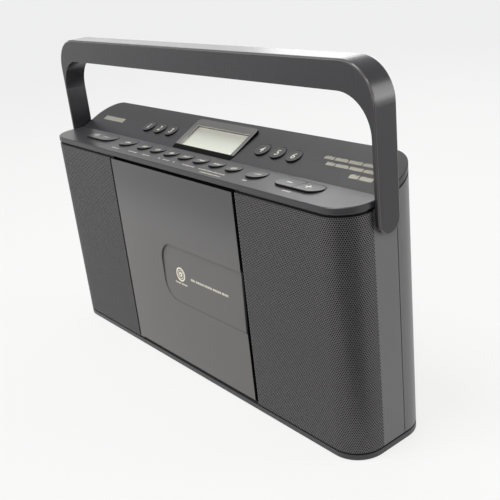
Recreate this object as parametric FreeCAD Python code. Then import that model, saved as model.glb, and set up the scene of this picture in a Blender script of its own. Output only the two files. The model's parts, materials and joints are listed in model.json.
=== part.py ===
# Portable CD radio with a swing handle: every piece as its own solid, in millimetres.
#
# Case coordinates: x to the right, d back from the front face, h up from the underside
# of the base plate. export() moves them to the row frame, whose origin is the middle of
# the footprint on the surface that the rubber feet stand on.

import FreeCAD, Part
import math
import os

V = FreeCAD.Vector
os.makedirs("parts", exist_ok=True)

# ---------------------------------------------------------------- case
CASE_W = 343.6            # width over the side faces
CASE_D = 65.0             # depth, front face to back face
CORNER_R = 20.0           # upright corners, in plan
WALL = 2.4                # moulded walls
BASE_T = 3.6              # base plate
BASE_GAP = 1.2            # shadow gap between base plate and shells
STRIP_H = 163.4           # top of the level strip that carries the keys
CAP_RIM = 3.6             # thickness of the cap at its rim
CAP_SKIN = 2.2            # thickness of the cap inside the rim
CAP_GAP = 1.3             # shadow gap under the cap
CREASE_D = 31.0           # where the cap starts to rise
SLOPE = 25.0              # rise of the rear part of the cap, degrees
SEAM_D = 41.2             # joint between front and rear shell
SEAM_GAP = 0.6            # width of the joint line
LIP_INSET = 1.6           # collars behind the shadow gaps
LIP_T = 1.4
FOOT_R = 7.0
FOOT_STAND = 1.0          # feet below the base plate
FOOT_SINK = 1.2           # feet let into the base plate
FOOT_EDGE = 22.0          # foot centre from the case side
FOOT_D_EDGE = 14.0        # foot centre from front and back
FOOT_ROUND = 0.4
CAP_CHAMFER = 0.5         # bevel around the cap's upper edge
CAP_CLEAR = 0.2           # inner walls stop this far under the cap
CORNER_EASE = 0.8         # first stretch of a corner, still as good as flat
REAR_EXTRA = 0.6          # rear shell's side walls, thicker than WALL

# ---------------------------------------------------------------- grilles
GRILLE_T = 1.0
GRILLE_END_D = 22.7       # where the wrapped sheet ends on the side face
GRILLE_TOP_GAP = 0.2

# ---------------------------------------------------------------- disc door and bay
DOOR_W = 150.0
DOOR_H = 150.7
DOOR_T = 5.0
DOOR_LOW = 6.5            # lower edge of the door
HINGE_GAP = 0.5           # gap at the hinged edge
FINGER_GAP = 3.0          # gap at the free edge
EAR_GAP = 0.5             # door ends to the hinge ears
EAR_L = 6.0
EAR_FRONT = 0.6
PIN_R = 1.2
PIN_PLAY = 0.05
PIN_DEPTH = 3.5           # length of pin in the door
DOOR_BACK_GAP = 1.0       # door to the wall behind it
RECESS_L = 96.0           # finger recess, from the free edge
RECESS_LOW = 57.7
RECESS_HIGH = 102.8
RECESS_R = 15.0
RECESS_T = 0.8
PEG_H = 40.0              # catch peg height above the door's lower edge
PEG_FROM_EDGE = 7.0
PEG_W = 4.0
PEG_L = 6.0
PEG_PLAY = 1.0
PEG_ROOT = 0.5            # peg let into the door
DOOR_ROUND = 0.6
HOLLOW_MARGIN = 12.0      # shallow hollow in the back of the door
HOLLOW_T = 1.2
HOLLOW_R = 8.0
PIN_END = 0.3             # pin hole deeper than the pin
CATCH_GAP = 0.3
CATCH_LEAF = 0.8
CATCH_FOOT = 4.5          # feet of the catch, beyond the peg

# ---------------------------------------------------------------- disc drive
WELL_R = 63.0
WELL_T = 2.5
WELL_DEPTH = 6.0
DECK_T = 1.6
DECK_SQ = 58.0            # half width of its square part
BOSS_AT = 52.0            # deck screw from the spindle axis, both ways
BOSS_R = 4.0
SCREW_R = 1.25
SMALL_SCREW_R = 0.9
HEAD_R = 2.6
HEAD_T = 1.4
HEAD_PLAY = 0.4
SMALL_HEAD_R = 2.0
SMALL_SCREW_L = 6.0
SCREW_SKIN = 0.5          # wall left in front of a blind screw hole
MOTOR_R = 12.0
MOTOR_L = 10.5
SHAFT_R = 1.0
SHAFT_SHORT = 2.5         # shaft end to the motor's rear face
NOSE_R = 3.9              # motor's nose, through the deck plate
NOSE_PLAY = 0.1
SEAT_R = 13.0
SEAT_STAND = 2.2          # plane that the disc lies on, in front of the deck plate
SEAT_T = 1.4
SPIGOT_R = 7.4
SPIGOT_L = 3.4
SPIGOT_LEAD = 1.0         # bevelled nose of the spigot
SPIGOT_ROOT_L = 0.4       # undercut where it meets the disc seat
SPIGOT_ROOT_T = 0.3
SLED_TRAVEL = 32.0
LENS_X = 24.0             # lens radius from the spindle at the start of its travel
LENS_R = 3.0
LENS_SEAT = 2.0           # lens let into its tower
LENS_CROWN = 0.6          # lens in front of the deck plate
LENS_BEVEL = 1.2
LENS_RIM = 0.4
SLED_L = 22.0
SLED_H = 32.0
SLED_GAP = 1.4            # deck plate to sled
SLED_T = 8.0
SLED_CUT = 2.0            # its inner end, cut back to clear the motor
TOWER_L = 12.0
TOWER_H = 14.0
TOWER_SHORT = 0.3         # tower behind the deck's front face
SLOT_PLAY = 1.0
ROD_R = 1.5
ROD_OFF = 12.5            # guide rods above and below the spindle axis
ROD_PLAY = 0.05
LUG_T = 3.0
LUG_HALF = 2.7
LUG_REACH = 2.0           # lug behind the rod it holds
LUG_ROOT = 0.2            # lugs and posts let into the deck plate
TONGUE_HALF = 19.0        # half height of the plate behind the sled
GEAR_M = 0.8              # tooth module of the sled drive
ADDENDUM = 0.9            # tooth heights, in modules
DEDENDUM = 1.2
ROOT_HALF = 0.34          # tooth half widths, in pitches
PITCH_HALF = 0.21
TIP_HALF = 0.09
RACK_DROP = 3.2           # rack pitch line under the sled
PINION_N = 12
WHEEL_N = 28
MOTOR_N = 10
RACK_L = 40.0
GEAR_T = 2.0
GEAR_BACK = 1.0           # pinion behind the rods' axis
WHEEL_GAP = 0.4           # sled to the large wheel
PINION_IN = 2.0           # pinion inside the sled's outer end
GEAR_POST_R = 2.6
GEAR_POST_PAD = 6.0
GEAR_POST_HIGH = 10.0     # pad's upper edge, below the spindle axis
COLLAR_R = 3.0
SLED_MOTOR_R = 6.0
SLED_MOTOR_IN = 1.5       # pinion shaft starts this far inside its motor

# ---------------------------------------------------------------- speakers
SPK_H = 97.0
SPK_R = 36.0
SPK_CONE_R = 29.0
SPK_RING = 2.0            # glued edge of the cone, outside the cone radius
SPK_OPENING = 1.5         # shell opening, wider than the cone
SPK_FLANGE_T = 1.6
SPK_BASKET_T = 1.2
SPK_SCREW_IN = 1.7        # flange screws, in from its edge
SPK_SCREW_L = 2.9
ROLL_W = 4.0              # soft roll around the cone
ROLL_RISE = 1.0
PAPER_T = 0.8
CONE_FALL = 10.0          # depth of the cone
DUST_R = 9.0              # dust cap
DUST_MID_R = 5.0
DUST_RISE = 2.6
POLE_SMALLER = 8.3        # pole piece, smaller than the magnet
POLE_L = 5.0
SPK_DEPTH = 19.0
MAGNET_R = 19.0
MAGNET_T = 9.0

# ---------------------------------------------------------------- keys
KEY_D = 19.8              # key row centre from the front
KEY_STEP = 18.0
SMALL_R = 6.0
MEDIUM_R = 7.5
MEDIUM_X = 77.5
LONG_X = 117.0
LONG_L = 37.5
KEY_PLAY = 0.25
KEY_RISE = 1.3            # front edge of a key above the cap
KEY_BACK = 0.1            # its rear edge above the cap
KEY_TRAVEL = 0.8
KEY_FLANGE = 0.8
FLANGE_GAP = 0.3
FLANGE_OUT = 0.8          # flange wider than its key
KEY_ROUND = 0.35
STEM_R = 2.0
STEM_L = 1.5
GROOVE_W = 0.5            # mark across the middle of the rocking key
GROOVE_T = 0.35
GROOVE_SHORT = 1.0
POST_CLEAR = 6.0          # outer board posts, beyond the long keys
PRESET_R = 5.9
PRESET_X = 54.0
PRESET_STEP = 15.5
PRESET_S = 15.6           # up the slope from the crease
BOARD_T = 1.6
BOARD_END = 4.0           # key board beyond its outer posts
BOARD_AHEAD_OF_KEYS = 9.0
BOARD_BEHIND_KEYS = 8.0
SLOPE_BOARD_L = 20.0
SLOPE_BOARD_LOW = 9.5     # its lower edge, before the preset keys' centres
SLOPE_BOARD_END = 8.0
SWITCH_W = 6.0
SWITCH_T = 2.3
PLUNGER_T = 0.6
PLUNGER_R = 1.6
SWITCH_GAP = 0.2          # switch top below a pressed stem
ROCK_FLANGE_GAP = 1.2     # room for the rising end of the rocking key
ROCK_PIN_R = 0.7          # pivot pins of the rocking key
ROCK_PIN_L = 1.0
ROCK_AXIS = 1.1           # their depth below the strip

# ---------------------------------------------------------------- display
LENS_W = 72.0
LENS_REACH = 29.7         # depth of the wedge, back from the crease
LENS_WALL = 4.2           # height of its front face
LENS_CORNER = 4.0
LENS_FEATHER = 0.15       # thickness left at its rear edge
PLUG_IN = 3.0
PLUG_PLAY = 0.2
LCD_W = 62.0
LCD_L = 23.0
LCD_S = 4.8               # LCD window from the crease, up the slope
LCD_T = 1.6
LCD_GAP = 0.1
LCD_FRAME_IN = 2.0

# ---------------------------------------------------------------- handle
ARM_GAP = 1.1             # running gap between arm and case
ARM_T = 2.9
HANDLE_D = 31.55          # pivot depth
HANDLE_W = 17.3           # depth of the section
PIVOT_H = 151.0
BAR_LOW = 221.4
BAR_HIGH = 238.5
BEND_OUT_R = 24.0
BEND_IN_R = 24.0
HANDLE_EDGE = 1.2
STUB_R = 5.0
STUB_PLAY = 0.06
STUB_BOSS_R = 8.0
STUB_BOSS_T = 5.0
WASHER_T = 1.5
WASHER_GAP = 0.3
WASHER_SMALLER = 0.8      # washer smaller than the boss it runs on
RETAINER_L = 7.5

# ---------------------------------------------------------------- back
BAT_W = 164.0
BAT_LOW = 9.0
BAT_H = 60.0
CELL_DEPTH = 29.0         # depth of the battery compartment, for 26 mm cells
COVER_T = 3.0
COVER_PLAY = 0.4
COVER_PIN_R = 0.8
COVER_PIN_L = 2.0
GRIP_W = 28.0             # finger groove along the cover's upper edge
GRIP_T = 0.8
GRIP_LOW = 9.0
GRIP_HIGH = 3.0
CONTACT_T = 0.6
CONTACT_W = 20.0
COIL_L = 6.0              # contact springs
COIL_R = 6.0
COIL_BORE_R = 4.6
REAR_SCREW_EDGE = 30.0    # outer case screws, in from the sides
REAR_SCREW_H = (20.0, 40.0, 120.0, 85.0)  # lower left, lower right, upper pair, middle
COUNTERBORE = 4.0         # case screw heads below the back face
POST_SHORT = 4.0          # screw posts start behind the shell joint
POST_KEEP = 1.0           # posts end inside the back wall
AERIAL_H = 154.0
AERIAL_X = 44.0           # swivel end
AERIAL_R = 3.0
AERIAL_L = 168.0
AERIAL_LIFT = 60.0        # steepest angle of the raised aerial
RELIEF_PLAY = 1.6
TUBE_T = 0.45
TUBE_PLAY = 0.05
GROOVE_R = 4.6
KNUCKLE_L = 15.0
KNUCKLE_R = 4.0
SWIVEL_R = 2.0            # stub that the knuckle turns on
SWIVEL_L = 3.3
SWIVEL_GAP = 0.2
SWIVEL_WALL = 3.0
SWIVEL_SUNK = 0.6         # its wall stops below the back face
FORK_L = 5.0
FORK_SLOT = 3.2
TILT_PIN_R = 1.2
TILT_PIN_HALF = 3.6
EYE_R = 2.6
EYE_HALF_T = 1.3
TUBE_START = 6.0          # outer tube beyond the tilt pin
TUBE_WALL_END = 2.0       # solid end of each section
SECTION_STEP = 1.5        # each inner section stands out this far
SECTION_BACK = 3.0
SECTION_BACK_STEP = 2.0
KNOB_L = 5.0
MAIN_BOARD_W = 168.0
BOARD_AHEAD = 7.2         # main board in front of the shell joint
BOARD_MARGIN = 2.0        # main board to battery bay and aerial channel
BOARD_POST_R = 3.0
BOARD_POST_X = 6.0        # board screws, in from its ends and edges
BOARD_POST_H = 5.0
BOARD_HOLE_L = 10.0
CHIP_T = 1.6
CAPACITOR_STEP = 13.0
HEAT_SINK_L = 10.0
TRANSFORMER_W = 46.0
TRANSFORMER_L = 18.0
TRANSFORMER_H = 38.0
TRANSFORMER_BACK_GAP = 31.0  # core to the back face
COIL_END = 8.0            # winding, in from the core's ends
INLET_X = 128.0
INLET_H = 22.0
INLET_W = 20.0
INLET_TALL = 14.0
INLET_L = 18.0
INLET_SOCKET_L = 11.0
INLET_LOBE_R = 3.8        # figure-of-eight socket
INLET_LOBE_X = 4.0
INLET_PIN_R = 1.15
INLET_PIN_X = 4.3
INLET_PIN_SHORT = 2.0
JACK_X = -128.0
JACK_H = 40.0
JACK_R = 1.75
JACK_L = 14.0
JACK_NOSE_T = 2.2
JACK_NOSE_L = 8.0
JACK_PLAY = 0.1
JACK_HALF = 5.0
JACK_WALL = 3.0           # back wall in front of the jack's body

# ---------------------------------------------------------------- working allowances
OVER = 1.0                # cutting tools run past the faces they open
FAR = 10.0                # tools that only bound a shape reach this far past it
NEAR = 0.01               # for picking edges by place

HALF_W = CASE_W / 2
ARM_OUT = HALF_W + ARM_GAP + ARM_T
BAY_D = DOOR_T + DOOR_BACK_GAP      # front of the wall behind the door
DECK_D = BAY_D + WELL_DEPTH         # front of the deck plate
SEAT_D = DECK_D - SEAT_STAND
SLED_D = DECK_D + DECK_T + SLED_GAP
BAT_D = CASE_D - COVER_T - CELL_DEPTH
AERIAL_D = CASE_D - GROOVE_R
TAN = math.tan(math.radians(SLOPE))
SIN = math.sin(math.radians(SLOPE))
COS = math.cos(math.radians(SLOPE))
SHELL_LOW = BASE_T + BASE_GAP
BACK_H = STRIP_H + (CASE_D - CREASE_D) * TAN
FINGER_X = DOOR_W / 2 + FINGER_GAP
HINGE_X = -DOOR_W / 2 + DOOR_T / 2
HINGE_SIDE = -DOOR_W / 2 - HINGE_GAP
DOOR_HIGH = DOOR_LOW + DOOR_H
AXIS_H = DOOR_LOW + DOOR_H / 2      # spindle height
SKIN_LOW = STRIP_H - CAP_SKIN       # underside of the level strip, inside the rim
FLAT_END = HALF_W - CORNER_R + CORNER_EASE  # where the front face starts to curve
SPK_X = (FINGER_X + WALL + FLAT_END) / 2


# ================================================================ helpers
def export(name, shape):
    """Write one node, moved from case coordinates to the row frame."""
    moved = shape.copy()
    moved.translate(V(0, -CASE_D / 2, FOOT_STAND))
    moved.exportStep("parts/" + name + ".step")


def block(x0, x1, d0, d1, h0, h1):
    return Part.makeBox(x1 - x0, d1 - d0, h1 - h0, V(x0, d0, h0))


def join(shapes):
    first = shapes[0]
    if len(shapes) == 1:
        return first
    return first.fuse(shapes[1:]).removeSplitter()


def group(shapes):
    return Part.makeCompound(shapes)


def rod_x(x0, x1, d, h, r):
    return Part.makeCylinder(r, x1 - x0, V(x0, d, h), V(1, 0, 0))


def rod_d(d0, d1, x, h, r):
    return Part.makeCylinder(r, d1 - d0, V(x, d0, h), V(0, 1, 0))


def rod_h(h0, h1, x, d, r):
    return Part.makeCylinder(r, h1 - h0, V(x, d, h0), V(0, 0, 1))


def lathe_d(points, x, h):
    """Turn a closed (radius, d) outline about an axis through x, h that runs front to back."""
    ring = [V(x + r, d, h) for r, d in points]
    face = Part.Face(Part.makePolygon(ring + [ring[0]]))
    return face.revolve(V(x, 0, h), V(0, 1, 0), 360)


def plan(inset):
    """Footprint of the case, set in by an amount, as a face at h = 0."""
    x = HALF_W - inset
    d0 = inset
    d1 = CASE_D - inset
    r = max(CORNER_R - inset, 1.0)
    return rounded_plan(-x, x, d0, d1, r)


def rounded_plan(x0, x1, d0, d1, r):
    q = r * (1 - math.sqrt(0.5))
    corners = [
        (V(x1 - r, d0, 0), V(x1 - q, d0 + q, 0), V(x1, d0 + r, 0)),
        (V(x1, d1 - r, 0), V(x1 - q, d1 - q, 0), V(x1 - r, d1, 0)),
        (V(x0 + r, d1, 0), V(x0 + q, d1 - q, 0), V(x0, d1 - r, 0)),
        (V(x0, d0 + r, 0), V(x0 + q, d0 + q, 0), V(x0 + r, d0, 0)),
    ]
    edges = []
    for i, (a, b, c) in enumerate(corners):
        edges.append(Part.Arc(a, b, c).toShape())
        following = corners[(i + 1) % 4][0]
        edges.append(Part.LineSegment(c, following).toShape())
    return Part.Face(Part.Wire(edges))


def prism(inset, h0, h1):
    face = plan(inset)
    face.translate(V(0, 0, h0))
    return face.extrude(V(0, 0, h1 - h0))


def side_extrude(points, x0, x1):
    """Extrude a closed (d, h) outline from x0 to x1."""
    ring = [V(x0, d, h) for d, h in points]
    return Part.Face(Part.makePolygon(ring + [ring[0]])).extrude(V(x1 - x0, 0, 0))


def bend_line(drop):
    """The cap's outline from front to back, lowered square to its surface by drop."""
    crease = CREASE_D + drop * math.tan(math.radians(SLOPE / 2))
    flat = STRIP_H - drop
    back = CASE_D + OVER
    return [(-OVER, flat), (crease, flat), (back, flat + (back - crease) * TAN)]


def below_cap(drop):
    """Everything under the cap's outline lowered by drop, as a cutting tool."""
    floor = [(CASE_D + OVER, -FAR), (-OVER, -FAR)]
    return side_extrude(bend_line(drop) + floor, -HALF_W - FAR, HALF_W + FAR)


def on_slope(shape):
    """Place a shape modelled with its origin on the crease, y up the slope, z off it."""
    tilt = FreeCAD.Placement(V(0, CREASE_D, STRIP_H), FreeCAD.Rotation(V(1, 0, 0), SLOPE))
    moved = shape.copy()
    moved.Placement = tilt.multiply(moved.Placement)
    return moved


def mirrored(shape):
    return shape.mirror(V(0, 0, 0), V(1, 0, 0))


def gear(n, module, d0, d1, x, h, turn):
    """Spur gear with straight flanks, its first tooth at turn degrees from +x towards +h."""
    pitch_r = n * module / 2
    outer = pitch_r + ADDENDUM * module
    root = pitch_r - DEDENDUM * module
    step = 2 * math.pi / n
    stations = [(root, -ROOT_HALF), (pitch_r, -PITCH_HALF), (outer, -TIP_HALF),
                (outer, TIP_HALF), (pitch_r, PITCH_HALF), (root, ROOT_HALF)]
    points = []
    for i in range(n):
        for radius, away in stations:
            angle = math.radians(turn) + (i + away) * step
            points.append(V(x + radius * math.cos(angle), d0, h + radius * math.sin(angle)))
    face = Part.Face(Part.makePolygon(points + [points[0]]))
    return face.extrude(V(0, d1 - d0, 0))


def screw_d(x, h, d_head, length):
    """Pan-head screw whose head rises from d_head towards the front or the back."""
    way = 1 if length > 0 else -1
    head = rod_d(min(d_head, d_head - way * HEAD_T), max(d_head, d_head - way * HEAD_T), x, h, HEAD_R)
    shank = rod_d(min(d_head, d_head + length), max(d_head, d_head + length), x, h, SCREW_R)
    return join([head, shank])


# ================================================================ case shells
def base_plate():
    plate = prism(0, 0, BASE_T)
    neck = prism(LIP_INSET, BASE_T, SHELL_LOW)
    shape = join([plate, neck])
    for x, d in foot_places():
        shape = shape.cut(rod_h(-OVER, FOOT_SINK, x, d, FOOT_R))
    return shape


def foot_places():
    x = HALF_W - FOOT_EDGE
    return [(sx * x, d) for sx in (-1, 1) for d in (FOOT_D_EDGE, CASE_D - FOOT_D_EDGE)]


def feet():
    pads = []
    for x, d in foot_places():
        pad = rod_h(-FOOT_STAND, FOOT_SINK, x, d, FOOT_R)
        rim = [e for e in pad.Edges if abs(e.BoundBox.ZMax + FOOT_STAND) < NEAR]
        pads.append(pad.makeFillet(FOOT_ROUND, rim))
    return group(pads)


def shell_body():
    """Outer form of both shells under the cap, with the collar that meets it."""
    outer = join([prism(GRILLE_T, SHELL_LOW, BACK_H).common(below_cap(CAP_RIM + CAP_GAP)),
                  prism(0, SHELL_LOW, BACK_H).common(below_cap(CAP_RIM + CAP_GAP))
                  .common(block(-HALF_W, HALF_W, GRILLE_END_D, CASE_D, 0, BACK_H))])
    collar = prism(LIP_INSET, BACK_H / 2, BACK_H).cut(prism(LIP_INSET + LIP_T, 0, BACK_H))
    collar = collar.common(below_cap(CAP_RIM))
    return join([outer, collar])


def bay_front():
    """Tools and walls of the disc bay: what is cut from the front, and what is added."""
    opening = block(HINGE_SIDE, FINGER_X, -OVER, BAY_D, SHELL_LOW, BACK_H)
    top = SKIN_LOW - CAP_CLEAR
    back = block(HINGE_SIDE - WALL, FINGER_X + WALL, BAY_D, BAY_D + WALL, SHELL_LOW, top)
    sides = [block(x, x + WALL, GRILLE_T, BAY_D + WALL, SHELL_LOW, top).common(below_cap(CAP_RIM))
             for x in (HINGE_SIDE - WALL, FINGER_X)]
    ears = []
    for low, high in ((SHELL_LOW, DOOR_LOW - EAR_GAP), (DOOR_HIGH + EAR_GAP, STRIP_H - CAP_RIM - CAP_CLEAR)):
        ears.append(block(HINGE_SIDE, HINGE_SIDE + EAR_L, EAR_FRONT, BAY_D, low, high))
    ring = rod_d(BAY_D + WALL, DECK_D, 0, AXIS_H, WELL_R + WELL_T)
    bosses = [rod_d(BAY_D + WALL, DECK_D, x, h, BOSS_R) for x, h in boss_places()]
    well = rod_d(BAY_D - OVER, DECK_D + OVER, 0, AXIS_H, WELL_R)
    return opening, [back] + sides + ears + [ring] + bosses, well


def boss_places():
    """The four screws that hold the disc drive."""
    return [(x, AXIS_H + z) for x in (-BOSS_AT, BOSS_AT) for z in (-BOSS_AT, BOSS_AT)]


def peg_place():
    x = DOOR_W / 2 - PEG_FROM_EDGE
    h = DOOR_LOW + PEG_H
    return x, h


def stub_hole(side):
    x0 = HALF_W - WALL - GRILLE_T - STUB_BOSS_T - OVER
    hole = rod_x(x0, HALF_W + OVER, HANDLE_D, PIVOT_H, STUB_R + STUB_PLAY)
    return hole if side > 0 else mirrored(hole)


def stub_boss(side):
    x1 = HALF_W - WALL
    boss = rod_x(x1 - STUB_BOSS_T, x1, HANDLE_D, PIVOT_H, STUB_BOSS_R)
    boss = boss.common(below_cap(CAP_RIM))
    return boss if side > 0 else mirrored(boss)


def front_shell():
    inset = GRILLE_T + WALL
    shell = shell_body().common(block(-HALF_W, HALF_W, 0, SEAM_D, 0, BACK_H))
    cavity = prism(inset, 0, BACK_H).common(block(-HALF_W, HALF_W, inset, CASE_D, 0, BACK_H))
    shell = shell.cut(cavity)
    opening, walls, well = bay_front()
    shell = shell.cut(opening)
    shell = join([shell] + walls + [stub_boss(-1), stub_boss(1)])
    tools = [well, stub_hole(-1), stub_hole(1)]
    for side in (-1, 1):
        tools.append(rod_d(-OVER, inset + OVER, side * SPK_X, SPK_H, SPK_CONE_R + SPK_OPENING))
    for x, h in speaker_screw_places():
        tools.append(rod_d(GRILLE_T + SCREW_SKIN, inset + OVER, x, h, SCREW_R))
    for x, h in boss_places():
        tools.append(rod_d(BAY_D + WALL, DECK_D + OVER, x, h, SCREW_R))
    for low, high in pin_spans():
        tools.append(rod_h(low, high, HINGE_X, DOOR_T / 2, PIN_R))
    x, h = peg_place()
    half = PEG_W / 2 + PEG_PLAY
    tools.append(block(x - half, x + half, BAY_D - OVER, BAY_D + WALL + OVER, h - half, h + half))
    return shell.cut(tools)


def pin_spans():
    low = (SHELL_LOW, DOOR_LOW + PIN_DEPTH)
    high = (DOOR_HIGH - PIN_DEPTH, STRIP_H - CAP_RIM - 2 * CAP_CLEAR)
    return [low, high]


def door_pins():
    return group([rod_h(low, high, HINGE_X, DOOR_T / 2, PIN_R) for low, high in pin_spans()])


def groove_box(extra):
    """Channel in the back that the aerial lies in, open through the left rear corner."""
    half = GROOVE_R + extra
    return block(-HALF_W - FAR, AERIAL_X + KNUCKLE_L + extra, AERIAL_D - half, CASE_D + OVER,
                 AERIAL_H - half, AERIAL_H + half)


def aerial_relief(extra):
    """Wedge above the swivel that lets the tilted aerial rise to its steepest angle."""
    front = AERIAL_D - GROOVE_R - extra
    back = CASE_D + OVER
    rise = (back - front) * math.tan(math.radians(AERIAL_LIFT))
    outline = [(front, AERIAL_H), (back, AERIAL_H + rise), (back, AERIAL_H)]
    half = AERIAL_R + RELIEF_PLAY + extra
    return side_extrude(outline, AERIAL_X - half, AERIAL_X + half)


def battery_bay(extra):
    half = BAT_W / 2 + extra
    return block(-half, half, BAT_D - extra, CASE_D + OVER, BAT_LOW - extra, BAT_LOW + BAT_H + extra)


def inlet_block(extra):
    half = INLET_W / 2 + extra
    tall = INLET_TALL / 2 + extra
    return block(INLET_X - half, INLET_X + half, CASE_D - INLET_L, CASE_D + OVER,
                 INLET_H - tall, INLET_H + tall)


def rear_screw_places():
    x = HALF_W - REAR_SCREW_EDGE
    low_left, low_right, upper, middle = REAR_SCREW_H
    return [(-x, low_left), (x, low_right), (-x, upper), (x, upper), (0.0, middle)]


def rear_shell():
    low = SEAM_D + SEAM_GAP
    outer = shell_body().common(block(-HALF_W, HALF_W, low, CASE_D, 0, BACK_H))
    seam = prism(LIP_T, SHELL_LOW, BACK_H).common(below_cap(CAP_RIM + CAP_GAP))
    seam = seam.common(block(-HALF_W, HALF_W, SEAM_D, low, 0, BACK_H))
    cavity = prism(WALL + REAR_EXTRA, 0, BACK_H).common(block(-HALF_W, HALF_W, 0, CASE_D - WALL, 0, BACK_H))
    shell = join([outer, seam]).cut(cavity)
    inside = prism(WALL, 0, BACK_H)
    added = [groove_box(WALL).common(inside), aerial_relief(WALL).common(inside),
             battery_bay(WALL).common(prism(0, SHELL_LOW, BACK_H)), inlet_block(WALL).common(inside)]
    for x, h in rear_screw_places():
        added.append(rod_d(SEAM_D + POST_SHORT, CASE_D - POST_KEEP, x, h, BOSS_R))
    for x, h in main_board_posts():
        added.append(rod_d(board_front() + BOARD_T, CASE_D - POST_KEEP, x, h, BOARD_POST_R))
    shell = join([shell] + added)
    tools = [groove_box(0), aerial_relief(0), battery_bay(0), inlet_block(0)]
    nose_r = JACK_R + JACK_NOSE_T + JACK_PLAY
    tools.append(rod_d(CASE_D - JACK_L - OVER, CASE_D + OVER, JACK_X, JACK_H, nose_r))
    for x, h in rear_screw_places():
        tools.append(rod_d(CASE_D - COUNTERBORE, CASE_D + OVER, x, h, HEAD_R + HEAD_PLAY))
        tools.append(rod_d(SEAM_D, CASE_D, x, h, SCREW_R))
    for x, h in main_board_posts():
        tools.append(rod_d(board_front(), board_front() + BOARD_HOLE_L, x, h, SMALL_SCREW_R))
    shell = shell.cut(tools + cover_sockets())
    end = AERIAL_X + KNUCKLE_L
    bearing = block(end - SWIVEL_WALL, end + OVER, AERIAL_D - GROOVE_R, CASE_D - SWIVEL_SUNK,
                    AERIAL_H - GROOVE_R, AERIAL_H + GROOVE_R)
    socket = rod_x(end - SWIVEL_WALL - OVER, end + OVER / 2, AERIAL_D, AERIAL_H, SWIVEL_R + TUBE_PLAY)
    return join([shell, bearing]).cut(socket)


def rear_screws():
    seat = CASE_D - COUNTERBORE
    tip = SEAM_D + POST_SHORT + POST_KEEP
    return group([screw_d(x, h, seat, tip - seat) for x, h in rear_screw_places()])


def key_table():
    """Every key on the level strip: name, x, radius, straight length."""
    rows = [("key_power", -LONG_X, MEDIUM_R, LONG_L - 2 * MEDIUM_R),
            ("key_function", -MEDIUM_X, MEDIUM_R, 0),
            ("key_bass", MEDIUM_X, MEDIUM_R, 0),
            ("key_volume", LONG_X, MEDIUM_R, LONG_L - 2 * MEDIUM_R)]
    names = ["band", "mode", "stop", "play", "back", "forward", "memory"]
    for i, name in enumerate(names):
        rows.append(("key_" + name, (i - 3) * KEY_STEP, SMALL_R, 0))
    return rows


def preset_places():
    left = [-PRESET_X - (2 - i) * PRESET_STEP for i in range(3)]
    right = [PRESET_X + i * PRESET_STEP for i in range(3)]
    return left + right


def slot_form(x, d, r, straight, h0, h1):
    """Upright prism with round ends: a disc where straight is 0."""
    if straight == 0:
        return rod_h(h0, h1, x, d, r)
    half = straight / 2
    return join([block(x - half, x + half, d - r, d + r, h0, h1),
                 rod_h(h0, h1, x - half, d, r), rod_h(h0, h1, x + half, d, r)])


def lens_plan(grow, low, high):
    """Display wedge outline on the slope, as a prism from low to high off the slope."""
    reach = LENS_REACH / COS
    face = rounded_plan(-LENS_W / 2 - grow, LENS_W / 2 + grow, -grow, reach + grow, LENS_CORNER)
    face.translate(V(0, 0, low))
    return face.extrude(V(0, 0, high - low))


def plug_form(grow):
    reach = LENS_REACH / COS
    return Part.makeBox(LENS_W - 2 * PLUG_IN + 2 * grow, reach - 2 * PLUG_IN + 2 * grow, CAP_SKIN,
                        V(-LENS_W / 2 + PLUG_IN - grow, PLUG_IN - grow, -CAP_SKIN))


def top_cap():
    low = STRIP_H - CAP_RIM - FAR
    plate = prism(0, low, BACK_H + FAR).common(below_cap(0)).cut(below_cap(CAP_RIM))
    top_edges = []
    for e in plate.Edges:
        box = e.BoundBox
        mid = e.valueAt((e.FirstParameter + e.LastParameter) / 2)
        rise = max(0.0, mid.y - CREASE_D) * TAN
        on_top = abs(mid.z - STRIP_H - rise) < 2 * NEAR
        across = box.YLength < NEAR and abs(mid.y - CREASE_D) < NEAR
        if on_top and not across:
            top_edges.append(e)
    plate = plate.makeChamfer(CAP_CHAMFER, top_edges)
    pocket = prism(LIP_INSET + LIP_T, low, BACK_H).common(below_cap(CAP_SKIN))
    plate = plate.cut(pocket)
    posts = [rod_h(board_high(), STRIP_H - POST_KEEP, x, KEY_D, STEM_R) for x in board_posts()]
    plate = join([plate] + posts)
    tools = []
    for name, x, r, straight in key_table():
        tools.append(slot_form(x, KEY_D, r + KEY_PLAY, straight, SKIN_LOW - OVER, STRIP_H + OVER))
    for x in preset_places():
        tools.append(on_slope(rod_h(-CAP_RIM - OVER, OVER, x, PRESET_S, PRESET_R + KEY_PLAY)))
    tools.append(on_slope(plug_form(PLUG_PLAY)))
    tools.append(rocker_bearing())
    for x in board_posts():
        tools.append(rod_h(board_high() - OVER, board_high() + SMALL_SCREW_L - OVER, x, KEY_D, SMALL_SCREW_R))
    return plate.cut(tools)


def rocker_bearing():
    """Notches in the cap's skin, open below, that the rocking key's pins turn in."""
    reach = MEDIUM_R + ROCK_PIN_L + CAP_CLEAR
    r = ROCK_PIN_R + PIN_PLAY
    axis = STRIP_H - ROCK_AXIS
    way_in = block(LONG_X - r, LONG_X + r, KEY_D - reach, KEY_D + reach, SKIN_LOW - OVER, axis)
    return join([way_in, rod_d(KEY_D - reach, KEY_D + reach, LONG_X, axis, r)])


def board_posts():
    gap_mid = (MEDIUM_X + MEDIUM_R + LONG_X - LONG_L / 2) / 2
    end = LONG_X + LONG_L / 2 + POST_CLEAR
    return [-end, -gap_mid, gap_mid, end]


def board_high():
    """Top face of the key board."""
    stem_low = SKIN_LOW - FLANGE_GAP - KEY_FLANGE - STEM_L
    return stem_low - KEY_TRAVEL - SWITCH_GAP - SWITCH_T


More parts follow.
